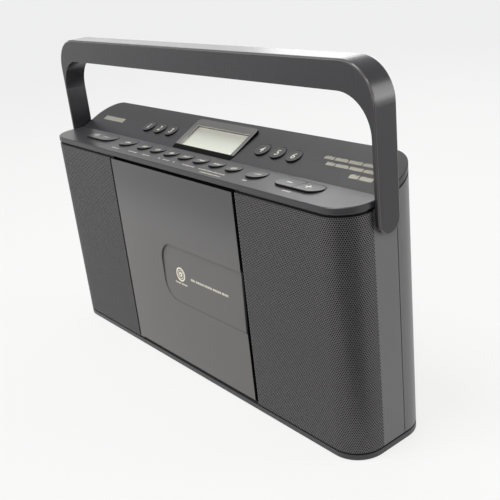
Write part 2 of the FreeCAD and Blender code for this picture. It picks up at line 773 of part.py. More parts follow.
def key_form(r, straight):
    """A key about its own axis: raised front edge, flange that keeps it in, stem to its switch."""
    low = -CAP_SKIN - FLANGE_GAP - KEY_FLANGE
    cap = slot_form(0, 0, r, straight, low, KEY_RISE)
    fall = (KEY_RISE - KEY_BACK) / (2 * r) * OVER
    above = KEY_RISE + FAR
    tilt = [(-r - OVER, above), (-r - OVER, KEY_RISE + fall), (r + OVER, KEY_BACK - fall), (r + OVER, above)]
    cap = cap.cut(side_extrude(tilt, -LONG_L, LONG_L))
    top = max(cap.Faces, key=lambda face: face.CenterOfMass.z)
    cap = cap.makeFillet(KEY_ROUND, top.Edges)
    flange = slot_form(0, 0, r + FLANGE_OUT, straight, low, low + KEY_FLANGE)
    stem = rod_h(low - STEM_L, low, 0, 0, STEM_R)
    return join([cap, flange, stem])


def rocker_form():
    """The long key that tips about its middle, with a groove between its minus and plus halves."""
    low = -CAP_SKIN - ROCK_FLANGE_GAP - KEY_FLANGE
    straight = LONG_L - 2 * MEDIUM_R
    stem_low = -CAP_SKIN - FLANGE_GAP - KEY_FLANGE - STEM_L
    top = key_form(MEDIUM_R, straight).common(slot_form(0, 0, MEDIUM_R, straight, -CAP_SKIN, KEY_RISE))
    parts = [top, slot_form(0, 0, MEDIUM_R, straight, low, -CAP_SKIN),
             slot_form(0, 0, MEDIUM_R + FLANGE_OUT, straight, low, low + KEY_FLANGE)]
    for x in (-straight / 2, straight / 2):
        parts.append(rod_h(stem_low, low, x, 0, STEM_R))
    reach = MEDIUM_R + ROCK_PIN_L
    parts.append(rod_d(-reach, reach, 0, -ROCK_AXIS, ROCK_PIN_R))
    reach = MEDIUM_R - GROOVE_SHORT
    groove = block(-GROOVE_W / 2, GROOVE_W / 2, -reach, reach, 0, KEY_RISE + OVER)
    return join(parts).cut(groove.cut(below_key_top(GROOVE_T)))


def below_key_top(drop):
    """Everything under the tilted top of a medium key, lowered by drop."""
    back = [(-MEDIUM_R, KEY_RISE - drop), (MEDIUM_R, KEY_BACK - drop)]
    return side_extrude(back + [(MEDIUM_R, -FAR), (-MEDIUM_R, -FAR)], -LONG_L, LONG_L)


def preset_key(x):
    key = key_form(PRESET_R, 0)
    key.translate(V(x, PRESET_S, 0))
    return on_slope(key)


def key_boards():
    top = board_high()
    end = board_posts()[-1] + BOARD_END
    strip = block(-end, end, KEY_D - BOARD_AHEAD_OF_KEYS, KEY_D + BOARD_BEHIND_KEYS, top - BOARD_T, top)
    under = board_high() - STRIP_H
    half = preset_places()[-1] + SLOPE_BOARD_END
    low = PRESET_S - SLOPE_BOARD_LOW
    slope = block(-half, half, low, low + SLOPE_BOARD_L, under - BOARD_T, under)
    holes = [rod_h(top - BOARD_T - OVER, top + OVER, x, KEY_D, SMALL_SCREW_R) for x in board_posts()]
    return group([strip.cut(holes), on_slope(slope)])


def key_switches():
    top = board_high()
    bodies = []
    for name, x, r, straight in key_table():
        apart = straight / 2 if name == "key_volume" else 0
        for spot in sorted({x - apart, x + apart}):
            bodies.append(switch_at(spot, KEY_D, top))
    for x in preset_places():
        bodies.append(on_slope(switch_at(x, PRESET_S, board_high() - STRIP_H)))
    return group(bodies)


def switch_at(x, d, h):
    half = SWITCH_W / 2
    body = block(x - half, x + half, d - half, d + half, h, h + SWITCH_T - PLUNGER_T)
    return join([body, rod_h(h, h + SWITCH_T, x, d, PLUNGER_R)])


def board_screws():
    """Small screws that hold the key board to the cap and the main board to the back."""
    low = board_high() - BOARD_T
    screws = []
    for x in board_posts():
        head = rod_h(low - HEAD_T, low, x, KEY_D, SMALL_HEAD_R)
        screws.append(join([head, rod_h(low, low + SMALL_SCREW_L, x, KEY_D, SMALL_SCREW_R)]))
    d = board_front()
    for x, h in main_board_posts():
        head = rod_d(d - HEAD_T, d, x, h, SMALL_HEAD_R)
        screws.append(join([head, rod_d(d, d + SMALL_SCREW_L, x, h, SMALL_SCREW_R)]))
    return group(screws)


def display_lens():
    """Clear wedge over the display: level with the slope behind, a low wall in front."""
    end = LENS_REACH / COS + NEAR
    outline = [(0, 0), (LENS_WALL * SIN, LENS_WALL * COS), (end, LENS_FEATHER), (end, -OVER), (0, -OVER)]
    body = lens_plan(0, 0, LENS_WALL * 2).common(side_extrude(outline, -LENS_W, LENS_W))
    return on_slope(join([body, plug_form(0)]))


def lcd_panel():
    half = LCD_W / 2
    back = -CAP_SKIN - LCD_GAP - LCD_T
    glass = block(-half, half, LCD_S, LCD_S + LCD_L, back, back + LCD_T)
    inner = half - LCD_FRAME_IN
    low = LCD_S + LCD_FRAME_IN
    high = LCD_S + LCD_L - LCD_FRAME_IN
    frame = block(-inner, inner, low, high, board_high() - STRIP_H, back)
    return on_slope(join([glass, frame]))


def grille(side):
    """Perforated sheet around a front corner, cut to the gap under the cap."""
    sheet = prism(0, SHELL_LOW, BACK_H).cut(prism(GRILLE_T, 0, BACK_H))
    sheet = sheet.common(below_cap(CAP_RIM + CAP_GAP + GRILLE_TOP_GAP))
    inner = FINGER_X if side > 0 else -HINGE_SIDE
    keep = block(inner, HALF_W + OVER, -OVER, GRILLE_END_D, 0, BACK_H)
    return sheet.common(keep if side > 0 else mirrored(keep))


# ================================================================ disc door and drive
def door():
    """Flat door with full-round hinged edge, finger recess, pin holes and a catch peg."""
    round_r = DOOR_T / 2
    slab = block(HINGE_X, DOOR_W / 2, 0, DOOR_T, DOOR_LOW, DOOR_HIGH)
    edges = [e for e in slab.Edges if e.BoundBox.XMin > DOOR_W / 2 - NEAR and e.BoundBox.ZLength > DOOR_T]
    slab = slab.makeFillet(DOOR_ROUND, edges)
    shape = join([slab, rod_h(DOOR_LOW, DOOR_HIGH, HINGE_X, round_r, round_r)])
    x0 = DOOR_W / 2 - RECESS_L
    recess = rounded_plan(x0, x0 + 2 * RECESS_L, RECESS_LOW, RECESS_HIGH, RECESS_R)
    recess = recess.extrude(V(0, 0, RECESS_T + OVER))
    recess.rotate(V(0, 0, 0), V(1, 0, 0), 90)
    recess.translate(V(0, RECESS_T, 0))
    shape = shape.cut(recess)
    side = DOOR_W / 2 - HOLLOW_MARGIN
    hollow = block(-side, side, DOOR_T - HOLLOW_T, DOOR_T + OVER, DOOR_LOW + HOLLOW_MARGIN,
                   DOOR_HIGH - HOLLOW_MARGIN)
    upright = [e for e in hollow.Edges if e.BoundBox.YLength > HOLLOW_T]
    shape = shape.cut(hollow.makeFillet(HOLLOW_R, upright))
    depth = PIN_DEPTH + PIN_END
    for low, high in ((DOOR_LOW - OVER, DOOR_LOW + depth), (DOOR_HIGH - depth, DOOR_HIGH + OVER)):
        shape = shape.cut(rod_h(low, high, HINGE_X, DOOR_T / 2, PIN_R + PIN_PLAY))
    x, h = peg_place()
    half = PEG_W / 2
    peg = block(x - half, x + half, DOOR_T - PEG_ROOT, DOOR_T + PEG_L, h - half, h + half)
    return join([shape, peg])


def door_catch():
    """Two-leaf spring clip behind the bay wall that grips the door's peg."""
    x, h = peg_place()
    d0 = BAY_D + WALL
    half = PEG_W / 2
    leaf = CATCH_LEAF
    legs = []
    for side in (-1, 1):
        mid = h + side * (half + CATCH_GAP + leaf / 2)
        legs.append(block(x - half, x + half, d0, d0 + PEG_L, mid - leaf / 2, mid + leaf / 2))
        foot = h + side * (half + CATCH_FOOT)
        legs.append(block(x - half, x + half, d0, d0 + leaf, min(mid, foot), max(mid, foot)))
    tall = half + CATCH_GAP + leaf
    back = block(x - half, x + half, d0 + PEG_L, d0 + PEG_L + leaf, h - tall, h + tall)
    return join(legs + [back])


def cd_deck():
    """Deck plate behind the well, with lugs for the guide rods and a boss for the sled gear."""
    d1 = DECK_D + DECK_T
    plate = rod_d(DECK_D, d1, 0, AXIS_H, WELL_R + WELL_T)
    square = block(-DECK_SQ, DECK_SQ, DECK_D, d1, AXIS_H - DECK_SQ, AXIS_H + DECK_SQ)
    tongue = block(0, rod_end(), DECK_D, d1, AXIS_H - TONGUE_HALF, AXIS_H + TONGUE_HALF)
    parts = [plate, square, tongue]
    for x in (rod_start(), rod_end() - LUG_T):
        for side in (-1, 1):
            h = AXIS_H + side * ROD_OFF
            parts.append(block(x, x + LUG_T, d1 - LUG_ROOT, rod_d_mid() + ROD_R + LUG_REACH,
                               h - LUG_HALF, h + LUG_HALF))
    gear_x, gear_h = pinion_place()
    pad = GEAR_POST_PAD
    parts.append(block(gear_x - pad, gear_x + pad, DECK_D, d1, gear_h - pad, AXIS_H - GEAR_POST_HIGH))
    parts.append(rod_d(d1 - LUG_ROOT, gear_d() - WASHER_GAP, gear_x, gear_h, GEAR_POST_R))
    parts.append(rod_d(d1 - LUG_ROOT, wheel_d() + GEAR_T + OVER, gear_x, gear_h, SHAFT_R))
    shape = join(parts)
    tools = [rod_d(DECK_D - OVER, d1 + OVER, 0, AXIS_H, NOSE_R + NOSE_PLAY)]
    x0 = LENS_X - TOWER_L / 2 - SLOT_PLAY
    x1 = LENS_X + TOWER_L / 2 + SLED_TRAVEL + SLOT_PLAY
    half = TOWER_H / 2 + SLOT_PLAY
    tools.append(block(x0, x1, DECK_D - OVER, d1 + OVER, AXIS_H - half, AXIS_H + half))
    for x, h in boss_places():
        tools.append(rod_d(DECK_D - OVER, d1 + OVER, x, h, SCREW_R))
    for side in (-1, 1):
        tools.append(rod_x(0, rod_end() + OVER, rod_d_mid(), AXIS_H + side * ROD_OFF, ROD_R))
    return shape.cut(tools)


def rod_start():
    """Inner end of the guide rods, beside the motor."""
    return MOTOR_R - LUG_T - OVER


def rod_end():
    return LENS_X + SLED_L / 2 + SLED_TRAVEL + LUG_T + OVER


def rod_d_mid():
    return SLED_D + SLED_T / 2


def guide_rods():
    return group([rod_x(rod_start(), rod_end(), rod_d_mid(), AXIS_H + side * ROD_OFF, ROD_R)
                  for side in (-1, 1)])


def deck_screws():
    d = DECK_D + DECK_T
    return group([screw_d(x, h, d, -LUG_T) for x, h in boss_places()])


def spindle_motor():
    d0 = DECK_D + DECK_T
    body = rod_d(d0, d0 + MOTOR_L, 0, AXIS_H, MOTOR_R)
    nose = rod_d(DECK_D, d0, 0, AXIS_H, NOSE_R)
    bore = rod_d(DECK_D - OVER, shaft_end() + PIN_DEPTH / 7, 0, AXIS_H, SHAFT_R + PIN_PLAY)
    return join([body, nose]).cut(bore)


def shaft_end():
    """Rear end of the spindle shaft, inside the motor."""
    return DECK_D + DECK_T + MOTOR_L - SHAFT_SHORT


def disc_hub():
    """Turntable with its centring spigot, and the shaft that runs in the motor."""
    tip = SEAT_D - SPIGOT_L
    seat_back = SEAT_D + SEAT_T
    outline = [(0, tip), (SPIGOT_R - SPIGOT_LEAD, tip), (SPIGOT_R, tip + SPIGOT_LEAD),
               (SPIGOT_R, SEAT_D - SPIGOT_ROOT_L), (SPIGOT_R - SPIGOT_ROOT_T, SEAT_D), (SEAT_R, SEAT_D),
               (SEAT_R, seat_back), (SHAFT_R, seat_back), (SHAFT_R, shaft_end()), (0, shaft_end())]
    return lathe_d(outline, 0, AXIS_H)


def rack_side():
    """Height of the rack's pitch line."""
    return AXIS_H - SLED_H / 2 - RACK_DROP


def pinion_place():
    x = LENS_X + SLED_L / 2 - PINION_IN
    return x, rack_side() - PINION_N * GEAR_M / 2


def gear_d():
    return rod_d_mid() + GEAR_BACK


def wheel_d():
    """The large wheel turns behind the sled."""
    return SLED_D + SLED_T + WHEEL_GAP


def pickup_sled():
    """Sled on two rods, with the lens tower through the slot and the rack on its lower side."""
    x0 = LENS_X - SLED_L / 2
    x1 = LENS_X + SLED_L / 2
    body = block(x0 + SLED_CUT, x1, SLED_D, SLED_D + SLED_T, AXIS_H - SLED_H / 2, AXIS_H + SLED_H / 2)
    half = TOWER_H / 2
    tower = block(LENS_X - TOWER_L / 2, LENS_X + TOWER_L / 2, DECK_D + TOWER_SHORT, SLED_D,
                  AXIS_H - half, AXIS_H + half)
    bar_top = AXIS_H - SLED_H / 2 + PEG_ROOT
    bar_low = rack_side() + DEDENDUM * GEAR_M
    bar = block(x1 - RACK_L, x1, gear_d(), gear_d() + GEAR_T, bar_low, bar_top)
    shape = join([body, tower, bar] + rack_teeth(x1 - RACK_L, x1, bar_low))
    for side in (-1, 1):
        shape = shape.cut(rod_x(0, x1 + OVER, rod_d_mid(), AXIS_H + side * ROD_OFF, ROD_R + ROD_PLAY))
    return shape.cut(rod_d(DECK_D, DECK_D + LENS_SEAT, LENS_X, AXIS_H, LENS_R))


def rack_teeth(x0, x1, bar_low):
    """Teeth that point down, with a gap centred over the pinion at rest."""
    step = math.pi * GEAR_M
    pitch = rack_side()
    centre, _ = pinion_place()
    teeth = []
    first = math.ceil((x0 + step / 2 - centre) / step - 0.5)
    last = math.floor((x1 - step / 2 - centre) / step - 0.5)
    for i in range(first, last + 1):
        mid = centre + (i + 0.5) * step
        side = [(ROOT_HALF, bar_low + PIN_PLAY), (PITCH_HALF, pitch), (TIP_HALF, pitch - ADDENDUM * GEAR_M)]
        points = [(-half, h) for half, h in side] + [(half, h) for half, h in reversed(side)]
        ring = [V(mid + half * step, gear_d(), h) for half, h in points]
        teeth.append(Part.Face(Part.makePolygon(ring + [ring[0]])).extrude(V(0, GEAR_T, 0)))
    return teeth


def pickup_lens():
    front = DECK_D - LENS_CROWN
    back = DECK_D + LENS_SEAT
    outline = [(0, front), (LENS_R - LENS_BEVEL, front + LENS_CROWN / 3), (LENS_R, DECK_D + LENS_RIM),
               (LENS_R, back), (0, back)]
    return lathe_d(outline, LENS_X, AXIS_H)


def motor_gear_place():
    x, h = pinion_place()
    apart = (WHEEL_N + MOTOR_N) * GEAR_M / 2
    return x - apart * COS, h - apart * SIN


def sled_gear():
    """Pinion under the rack and the larger wheel that the motor turns, in one piece."""
    x, h = pinion_place()
    d = gear_d()
    pinion = gear(PINION_N, GEAR_M, d, d + GEAR_T, x, h, 90)
    wheel = gear(WHEEL_N, GEAR_M, wheel_d(), wheel_d() + GEAR_T, x, h, 180 + SLOPE)
    collar = rod_d(d + GEAR_T, wheel_d(), x, h, COLLAR_R)
    bore = rod_d(d - OVER, wheel_d() + GEAR_T + OVER, x, h, SHAFT_R + PIN_PLAY)
    return join([pinion, wheel, collar]).cut(bore)


def motor_gear():
    x, h = motor_gear_place()
    d = wheel_d()
    toothed = gear(MOTOR_N, GEAR_M, d, d + GEAR_T, x, h, SLOPE + 180 / MOTOR_N)
    shaft = rod_d(DECK_D + DECK_T + SLED_MOTOR_IN, d, x, h, SHAFT_R)
    return join([toothed, shaft])


def sled_motor():
    x, h = motor_gear_place()
    d0 = DECK_D + DECK_T
    body = rod_d(d0, wheel_d() - WHEEL_GAP, x, h, SLED_MOTOR_R)
    return body.cut(rod_d(d0 + OVER, wheel_d(), x, h, SHAFT_R + PIN_PLAY))


# ================================================================ speakers
def speaker_frames():
    d0 = GRILLE_T + WALL
    back = d0 + SPK_DEPTH
    wall = SPK_BASKET_T
    lip = SPK_CONE_R + SPK_RING
    seat = MAGNET_R - 1.0
    hole = MAGNET_R - 8.0
    outline = [(lip, d0), (SPK_R, d0), (SPK_R, d0 + SPK_FLANGE_T), (lip + wall, d0 + SPK_FLANGE_T),
               (seat, back - wall), (seat, back), (hole, back), (hole, back - wall),
               (seat - 1.4, back - wall), (lip, d0 + 2.2)]
    holes = [rod_d(d0 - OVER, d0 + FAR / 2, x, h, SCREW_R) for x, h in speaker_screw_places()]
    return group([lathe_d(outline, side * SPK_X, SPK_H).cut(holes) for side in (-1, 1)])


def speaker_screw_places():
    reach = (SPK_R - SPK_SCREW_IN) * math.sqrt(0.5)
    return [(side * SPK_X + sx * reach, SPK_H + sz * reach)
            for side in (-1, 1) for sx in (-1, 1) for sz in (-1, 1)]


def speaker_cones():
    """Paper cones, each with its soft roll and dust cap as one skin of even thickness."""
    edge = GRILLE_T + WALL + PAPER_T / 2
    foot = edge + CONE_FALL - PAPER_T / 2
    skin = [(SPK_CONE_R + SPK_RING, edge), (SPK_CONE_R - ROLL_W / 4, edge - 0.6 * ROLL_RISE),
            (SPK_CONE_R - ROLL_W, edge + 0.4 * ROLL_RISE), (DUST_R, foot),
            (DUST_MID_R, foot - 0.7 * DUST_RISE), (0, foot - DUST_RISE)]
    outline = skin + [(r, d + PAPER_T) for r, d in reversed(skin)]
    return group([lathe_d(outline, side * SPK_X, SPK_H) for side in (-1, 1)])


def speaker_magnets():
    d0 = GRILLE_T + WALL + SPK_DEPTH
    pots = []
    for side in (-1, 1):
        pot = rod_d(d0, d0 + MAGNET_T, side * SPK_X, SPK_H, MAGNET_R)
        pole = rod_d(d0 - POLE_L, d0, side * SPK_X, SPK_H, MAGNET_R - POLE_SMALLER)
        pots.append(join([pot, pole]))
    return group(pots)


def speaker_screws():
    d = GRILLE_T + WALL + SPK_FLANGE_T
    screws = []
    for x, h in speaker_screw_places():
        head = rod_d(d, d + HEAD_T, x, h, SMALL_HEAD_R)
        screws.append(join([head, rod_d(d - SPK_SCREW_L, d, x, h, SCREW_R)]))
    return group(screws)


# ================================================================ handle
def handle():
    """U-shaped grip: square section, rounded bends, straps ending in half-rounds at the pivots."""
    x_in = ARM_OUT - ARM_T
    low = PIVOT_H - HANDLE_W / 2
    outer = rounded_profile(ARM_OUT, low, BAR_HIGH, BEND_OUT_R)
    inner = rounded_profile(x_in, low - OVER, BAR_LOW, BEND_IN_R)
    d0 = HANDLE_D - HANDLE_W / 2
    u_form = outer.cut(inner)
    u_form.translate(V(0, d0, 0))
    grip = u_form.extrude(V(0, HANDLE_W, 0))
    side_view = join([block(-ARM_OUT, ARM_OUT, d0, d0 + HANDLE_W, PIVOT_H, BAR_HIGH),
                      rod_x(-ARM_OUT, ARM_OUT, HANDLE_D, PIVOT_H, HANDLE_W / 2)])
    grip = grip.common(side_view)
    edges = []
    for e in grip.Edges:
        box = e.BoundBox
        mid = e.valueAt((e.FirstParameter + e.LastParameter) / 2)
        flush = box.YLength < NEAR and min(abs(mid.y - d0), abs(mid.y - d0 - HANDLE_W)) < NEAR
        on_side = abs(abs(mid.x) - ARM_OUT) < NEAR
        outside = on_side or mid.z > BAR_HIGH - BEND_OUT_R and not on_inner_bend(mid)
        around_end = box.XLength < NEAR and mid.z < PIVOT_H and on_side
        if (flush and outside and box.ZLength + box.XLength > HANDLE_EDGE) or around_end:
            edges.append(e)
    grip = grip.makeFillet(HANDLE_EDGE, edges)
    stubs = []
    for side in (-1, 1):
        stub = rod_x(stub_end(), x_in + PEG_ROOT, HANDLE_D, PIVOT_H, STUB_R)
        bore = rod_x(stub_end() - OVER, x_in, HANDLE_D, PIVOT_H, SCREW_R)
        stub = stub.cut(bore)
        stubs.append(stub if side > 0 else mirrored(stub))
    return join([grip] + stubs)


def on_inner_bend(point):
    x_in = ARM_OUT - ARM_T
    return point.z < BAR_LOW + NEAR and abs(point.x) < x_in + NEAR


def rounded_profile(half, low, high, r):
    """Arch outline in the x-h plane, flat below and with two round upper corners."""
    q = r * (1 - math.sqrt(0.5))
    edges = [Part.LineSegment(V(-half, 0, low), V(half, 0, low)).toShape(),
             Part.LineSegment(V(half, 0, low), V(half, 0, high - r)).toShape(),
             Part.Arc(V(half, 0, high - r), V(half - q, 0, high - q), V(half - r, 0, high)).toShape(),
             Part.LineSegment(V(half - r, 0, high), V(-half + r, 0, high)).toShape(),
             Part.Arc(V(-half + r, 0, high), V(-half + q, 0, high - q), V(-half, 0, high - r)).toShape(),
             Part.LineSegment(V(-half, 0, high - r), V(-half, 0, low)).toShape()]
    return Part.Face(Part.Wire(edges))


def stub_end():
    """Inner end of the pivot stubs, from the middle."""
    return HALF_W - WALL - STUB_BOSS_T - WASHER_GAP


def handle_retainers():
    """Washer and screw on the inner end of each stub."""
    ends = []
    for side in (-1, 1):
        x1 = stub_end()
        washer = rod_x(x1 - WASHER_T, x1, HANDLE_D, PIVOT_H, STUB_BOSS_R - WASHER_SMALLER)
        head = rod_x(x1 - WASHER_T - HEAD_T, x1 - WASHER_T, HANDLE_D, PIVOT_H, HEAD_R)
        shank = rod_x(x1, x1 + RETAINER_L, HANDLE_D, PIVOT_H, SCREW_R)
        piece = join([washer, head, shank])
        ends.append(piece if side > 0 else mirrored(piece))
    return group(ends)


# ================================================================ electronics and back
def board_front():
    """The main board stands clear in front of the screw posts."""
    return SEAM_D - BOARD_AHEAD


def board_span():
    """Lower and upper edge of the main board, between the battery bay and the aerial channel."""
    gap = WALL + BOARD_MARGIN
    return BAT_LOW + BAT_H + gap, AERIAL_H - GROOVE_R - gap


def main_board_posts():
    low, high = board_span()
    x = MAIN_BOARD_W / 2 - BOARD_POST_X
    return [(sx * x, h) for sx in (-1, 1) for h in (low + BOARD_POST_H, high - BOARD_POST_H)]


def main_board():
    low, high = board_span()
    half = MAIN_BOARD_W / 2
    d = board_front()
    holes = [rod_d(d - OVER, d + BOARD_T + OVER, x, h, SMALL_SCREW_R) for x, h in main_board_posts()]
    return block(-half, half, d, d + BOARD_T, low, high).cut(holes)


def board_parts():
    """Chips, capacitors and the heat sink on the main board, each on its own footprint."""
    low, high = board_span()
    d = board_front() + BOARD_T
    mid = (low + high) / 2
    parts = []
    for x, h, side in ((-22.0, mid, 16.0), (25.0, mid - 17.0, 14.0)):
        half = side / 2
        parts.append(block(x - half, x + half, d, d + CHIP_T, h - half, h + half))
    for count, x0, h, r, length in ((4, -72.0, mid + 22.0, 4.0, 12.0), (3, 40.0, mid - 22.0, 5.0, 16.0)):
        for i in range(count):
            parts.append(rod_d(d, d + length, x0 + CAPACITOR_STEP * i, h, r))
    fin_x = 60.0
    fin_half = 16.0
    fin_low = mid + 8.0
    fin_t = 4.0
    parts.append(block(fin_x - fin_half, fin_x + fin_half, d, d + HEAT_SINK_L, fin_low, fin_low + fin_t))
    return group(parts)


def transformer():
    """Iron core standing on the base plate, with its winding through it."""
    x0 = INLET_X - 28.0
    x1 = x0 + TRANSFORMER_W
    h0 = SHELL_LOW
    h1 = h0 + TRANSFORMER_H
    d1 = CASE_D - TRANSFORMER_BACK_GAP
    d0 = d1 - TRANSFORMER_L
    core = block(x0, x1, d0, d1, h0, h1)
    end = COIL_END
    return join([core, block(x0 + end, x1 - end, d0 - end, d1 + end, h0 + end, h1 - end)])


def ac_inlet():
    """Two-pin mains inlet let into the back."""
    body = inlet_block(0).common(block(-HALF_W, HALF_W, 0, CASE_D, 0, BACK_H))
    d0 = CASE_D - INLET_SOCKET_L
    lobe = INLET_LOBE_R
    middle = block(INLET_X - INLET_LOBE_X, INLET_X + INLET_LOBE_X, d0, CASE_D + OVER,
                   INLET_H - lobe, INLET_H + lobe)
    ends = [rod_d(d0, CASE_D + OVER, INLET_X + side * INLET_LOBE_X, INLET_H, lobe) for side in (-1, 1)]
    body = body.cut(join([middle] + ends))
    pins = [rod_d(d0 - OVER, CASE_D - INLET_PIN_SHORT, INLET_X + side * INLET_PIN_X, INLET_H, INLET_PIN_R)
            for side in (-1, 1)]
    return join([body] + pins)


def headphone_jack():
    nose = rod_d(CASE_D - JACK_NOSE_L, CASE_D, JACK_X, JACK_H, JACK_R + JACK_NOSE_T)
    half = JACK_HALF
    front = CASE_D - JACK_L
    body = block(JACK_X - half, JACK_X + half, front, CASE_D - JACK_WALL, JACK_H - half, JACK_H + half)
    return join([nose, body]).cut(rod_d(front + OVER, CASE_D + OVER, JACK_X, JACK_H, JACK_R))


def battery_contacts():
    """Contact plates at both ends of the two rows, with a coil spring on each minus end."""
    parts = []
    half = BAT_W / 2
    plate = CONTACT_T
    reach = CONTACT_W / 2
    for row in (0, 1):
        h = BAT_LOW + BAT_H * (0.25 + 0.5 * row)
        d = (BAT_D + CASE_D - COVER_T) / 2
        for side in (-1, 1):
            face = side * half
            x0, x1 = sorted((face, face - side * plate))
            parts.append(block(x0, x1, d - reach, d + reach, h - reach, h + reach))
        spring_side = 1 if row == 0 else -1
        coil = rod_x(-COIL_L / 2, COIL_L / 2, d, h, COIL_R).cut(rod_x(-COIL_L, COIL_L, d, h, COIL_BORE_R))
        coil.translate(V(spring_side * (half - plate - COIL_L / 2), 0, 0))
        at = -1 if spring_side > 0 else -2
        parts[at] = join([parts[at], coil])
    return group(parts)


def battery_cover():
    """Cover that tips out about its full-round lower edge."""
    half = BAT_W / 2 - COVER_PLAY
    r = COVER_T / 2
    low = BAT_LOW + COVER_PLAY
    high = BAT_LOW + BAT_H - COVER_PLAY
    slab = block(-half, half, CASE_D - COVER_T, CASE_D, low + r, high)
    edge = rod_x(-half, half, CASE_D - r, low + r, r)
    grip = block(-GRIP_W / 2, GRIP_W / 2, CASE_D - GRIP_T, CASE_D + OVER, high - GRIP_LOW, high - GRIP_HIGH)
    pin_half = half + COVER_PIN_L
    pin = rod_x(-pin_half, pin_half, CASE_D - r, low + r, COVER_PIN_R)
    return join([slab, edge, pin]).cut(grip)


def cover_sockets():
    """Holes in the battery bay's ends for the cover's pins."""
    half = BAT_W / 2
    r = COVER_T / 2
    reach = COVER_PIN_L + PEG_ROOT
    return [rod_x(side * half - reach, side * half + reach, CASE_D - r, BAT_LOW + COVER_PLAY + r,
                  COVER_PIN_R + PIN_PLAY) for side in (-1, 1)]


def aerial_knuckle():
    """Forked swivel on a stub that turns in the shell; the rod tilts between its ears."""
    end = AERIAL_X + KNUCKLE_L
    stub = rod_x(end - SWIVEL_L - SWIVEL_GAP, end - SWIVEL_GAP, AERIAL_D, AERIAL_H, SWIVEL_R)
    body = rod_x(AERIAL_X - KNUCKLE_R, end - SWIVEL_L, AERIAL_D, AERIAL_H, KNUCKLE_R)
    wide = AERIAL_D - FAR, AERIAL_D + FAR
    slot = block(AERIAL_X - FAR, AERIAL_X + FORK_L, *wide, AERIAL_H - FORK_SLOT / 2, AERIAL_H + FORK_SLOT / 2)
    round_end = rod_h(AERIAL_H - FAR, AERIAL_H + FAR, AERIAL_X, AERIAL_D, KNUCKLE_R)
    keep = join([round_end, block(AERIAL_X, end, *wide, AERIAL_H - FAR, AERIAL_H + FAR)])
    body = body.common(keep).cut(slot)
    pin = rod_h(AERIAL_H - TILT_PIN_HALF, AERIAL_H + TILT_PIN_HALF, AERIAL_X, AERIAL_D, TILT_PIN_R)
    return join([stub, body, pin])


def tube_radii():
    """Outer radius of each telescoping section, outermost first."""
    return [AERIAL_R - i * (TUBE_T + TUBE_PLAY) for i in range(3)]


def aerial_section(index):
    """One section; the outermost carries the flat eye, the innermost the end knob."""
    r = tube_radii()[index]
    outer_start = AERIAL_X - TUBE_START
    start = outer_start if index == 0 else outer_start - SECTION_BACK - index * SECTION_BACK_STEP
    end = outer_start - AERIAL_L - index * SECTION_STEP
    tube = rod_x(end, start, AERIAL_D, AERIAL_H, r)
    bore = rod_x(end - OVER, start - TUBE_WALL_END, AERIAL_D, AERIAL_H, r - TUBE_T)
    if index == len(tube_radii()) - 1:
        return join([tube, rod_x(end - KNOB_L, end, AERIAL_D, AERIAL_H, AERIAL_R)])
    if index > 0:
        return tube.cut(bore)
    low = AERIAL_H - EYE_HALF_T
    high = AERIAL_H + EYE_HALF_T
    root = start - SECTION_BACK
    tongue = block(root, AERIAL_X, AERIAL_D - EYE_R, AERIAL_D + EYE_R, low, high)
    tongue = tongue.common(rod_x(root, AERIAL_X, AERIAL_D, AERIAL_H, AERIAL_R))
    eye = rod_h(low, high, AERIAL_X, AERIAL_D, EYE_R)
    pin_hole = rod_h(low - OVER, high + OVER, AERIAL_X, AERIAL_D, TILT_PIN_R + PIN_PLAY)
    return join([tube, tongue, eye]).cut([bore, pin_hole])


# ================================================================ write every node
def write_all():
    export("base_plate", base_plate())
    export("feet", feet())
    export("front_shell", front_shell())
    export("rear_shell", rear_shell())
    export("rear_screws", rear_screws())
    export("top_cap", top_cap())
    export("grille_left", grille(-1))
    export("grille_right", grille(1))
    export("display_lens", display_lens())
    export("lcd_panel", lcd_panel())
    export("key_boards", key_boards())
    export("key_switches", key_switches())
    export("board_screws", board_screws())
    write_keys()
    export("door", door())
    export("door_pins", door_pins())
    export("door_catch", door_catch())
    export("cd_deck", cd_deck())
    export("deck_screws", deck_screws())
    export("guide_rods", guide_rods())
    export("spindle_motor", spindle_motor())
    export("disc_hub", disc_hub())
    export("pickup_sled", pickup_sled())
    export("pickup_lens", pickup_lens())
    export("sled_gear", sled_gear())
    export("motor_gear", motor_gear())
    export("sled_motor", sled_motor())
    export("speaker_frames", speaker_frames())
    export("speaker_cones", speaker_cones())
    export("speaker_magnets", speaker_magnets())
    export("speaker_screws", speaker_screws())
    export("handle", handle())
    export("handle_retainers", handle_retainers())
    export("main_board", main_board())
    export("board_parts", board_parts())
    export("transformer", transformer())
    export("ac_inlet", ac_inlet())
    export("headphone_jack", headphone_jack())
    export("battery_contacts", battery_contacts())
    export("battery_cover", battery_cover())
    export("aerial_knuckle", aerial_knuckle())
    for i in range(len(tube_radii())):
        export("aerial_tube_" + str(i + 1), aerial_section(i))


def write_keys():
    for name, x, r, straight in key_table():
        key = rocker_form() if name == "key_volume" else key_form(r, straight)
        key.translate(V(x, KEY_D, STRIP_H))
        export(name, key)
    for i, x in enumerate(preset_places()):
        export("key_preset_" + str(i + 1), preset_key(x))


write_all()
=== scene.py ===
"""A slim portable radio with a disc door: its finishes, its fine pieces and the table it stands on."""

import json
import math

import bmesh
import bpy
import numpy as np
from mathutils import Matrix, Quaternion, Vector
from mathutils.bvhtree import BVHTree


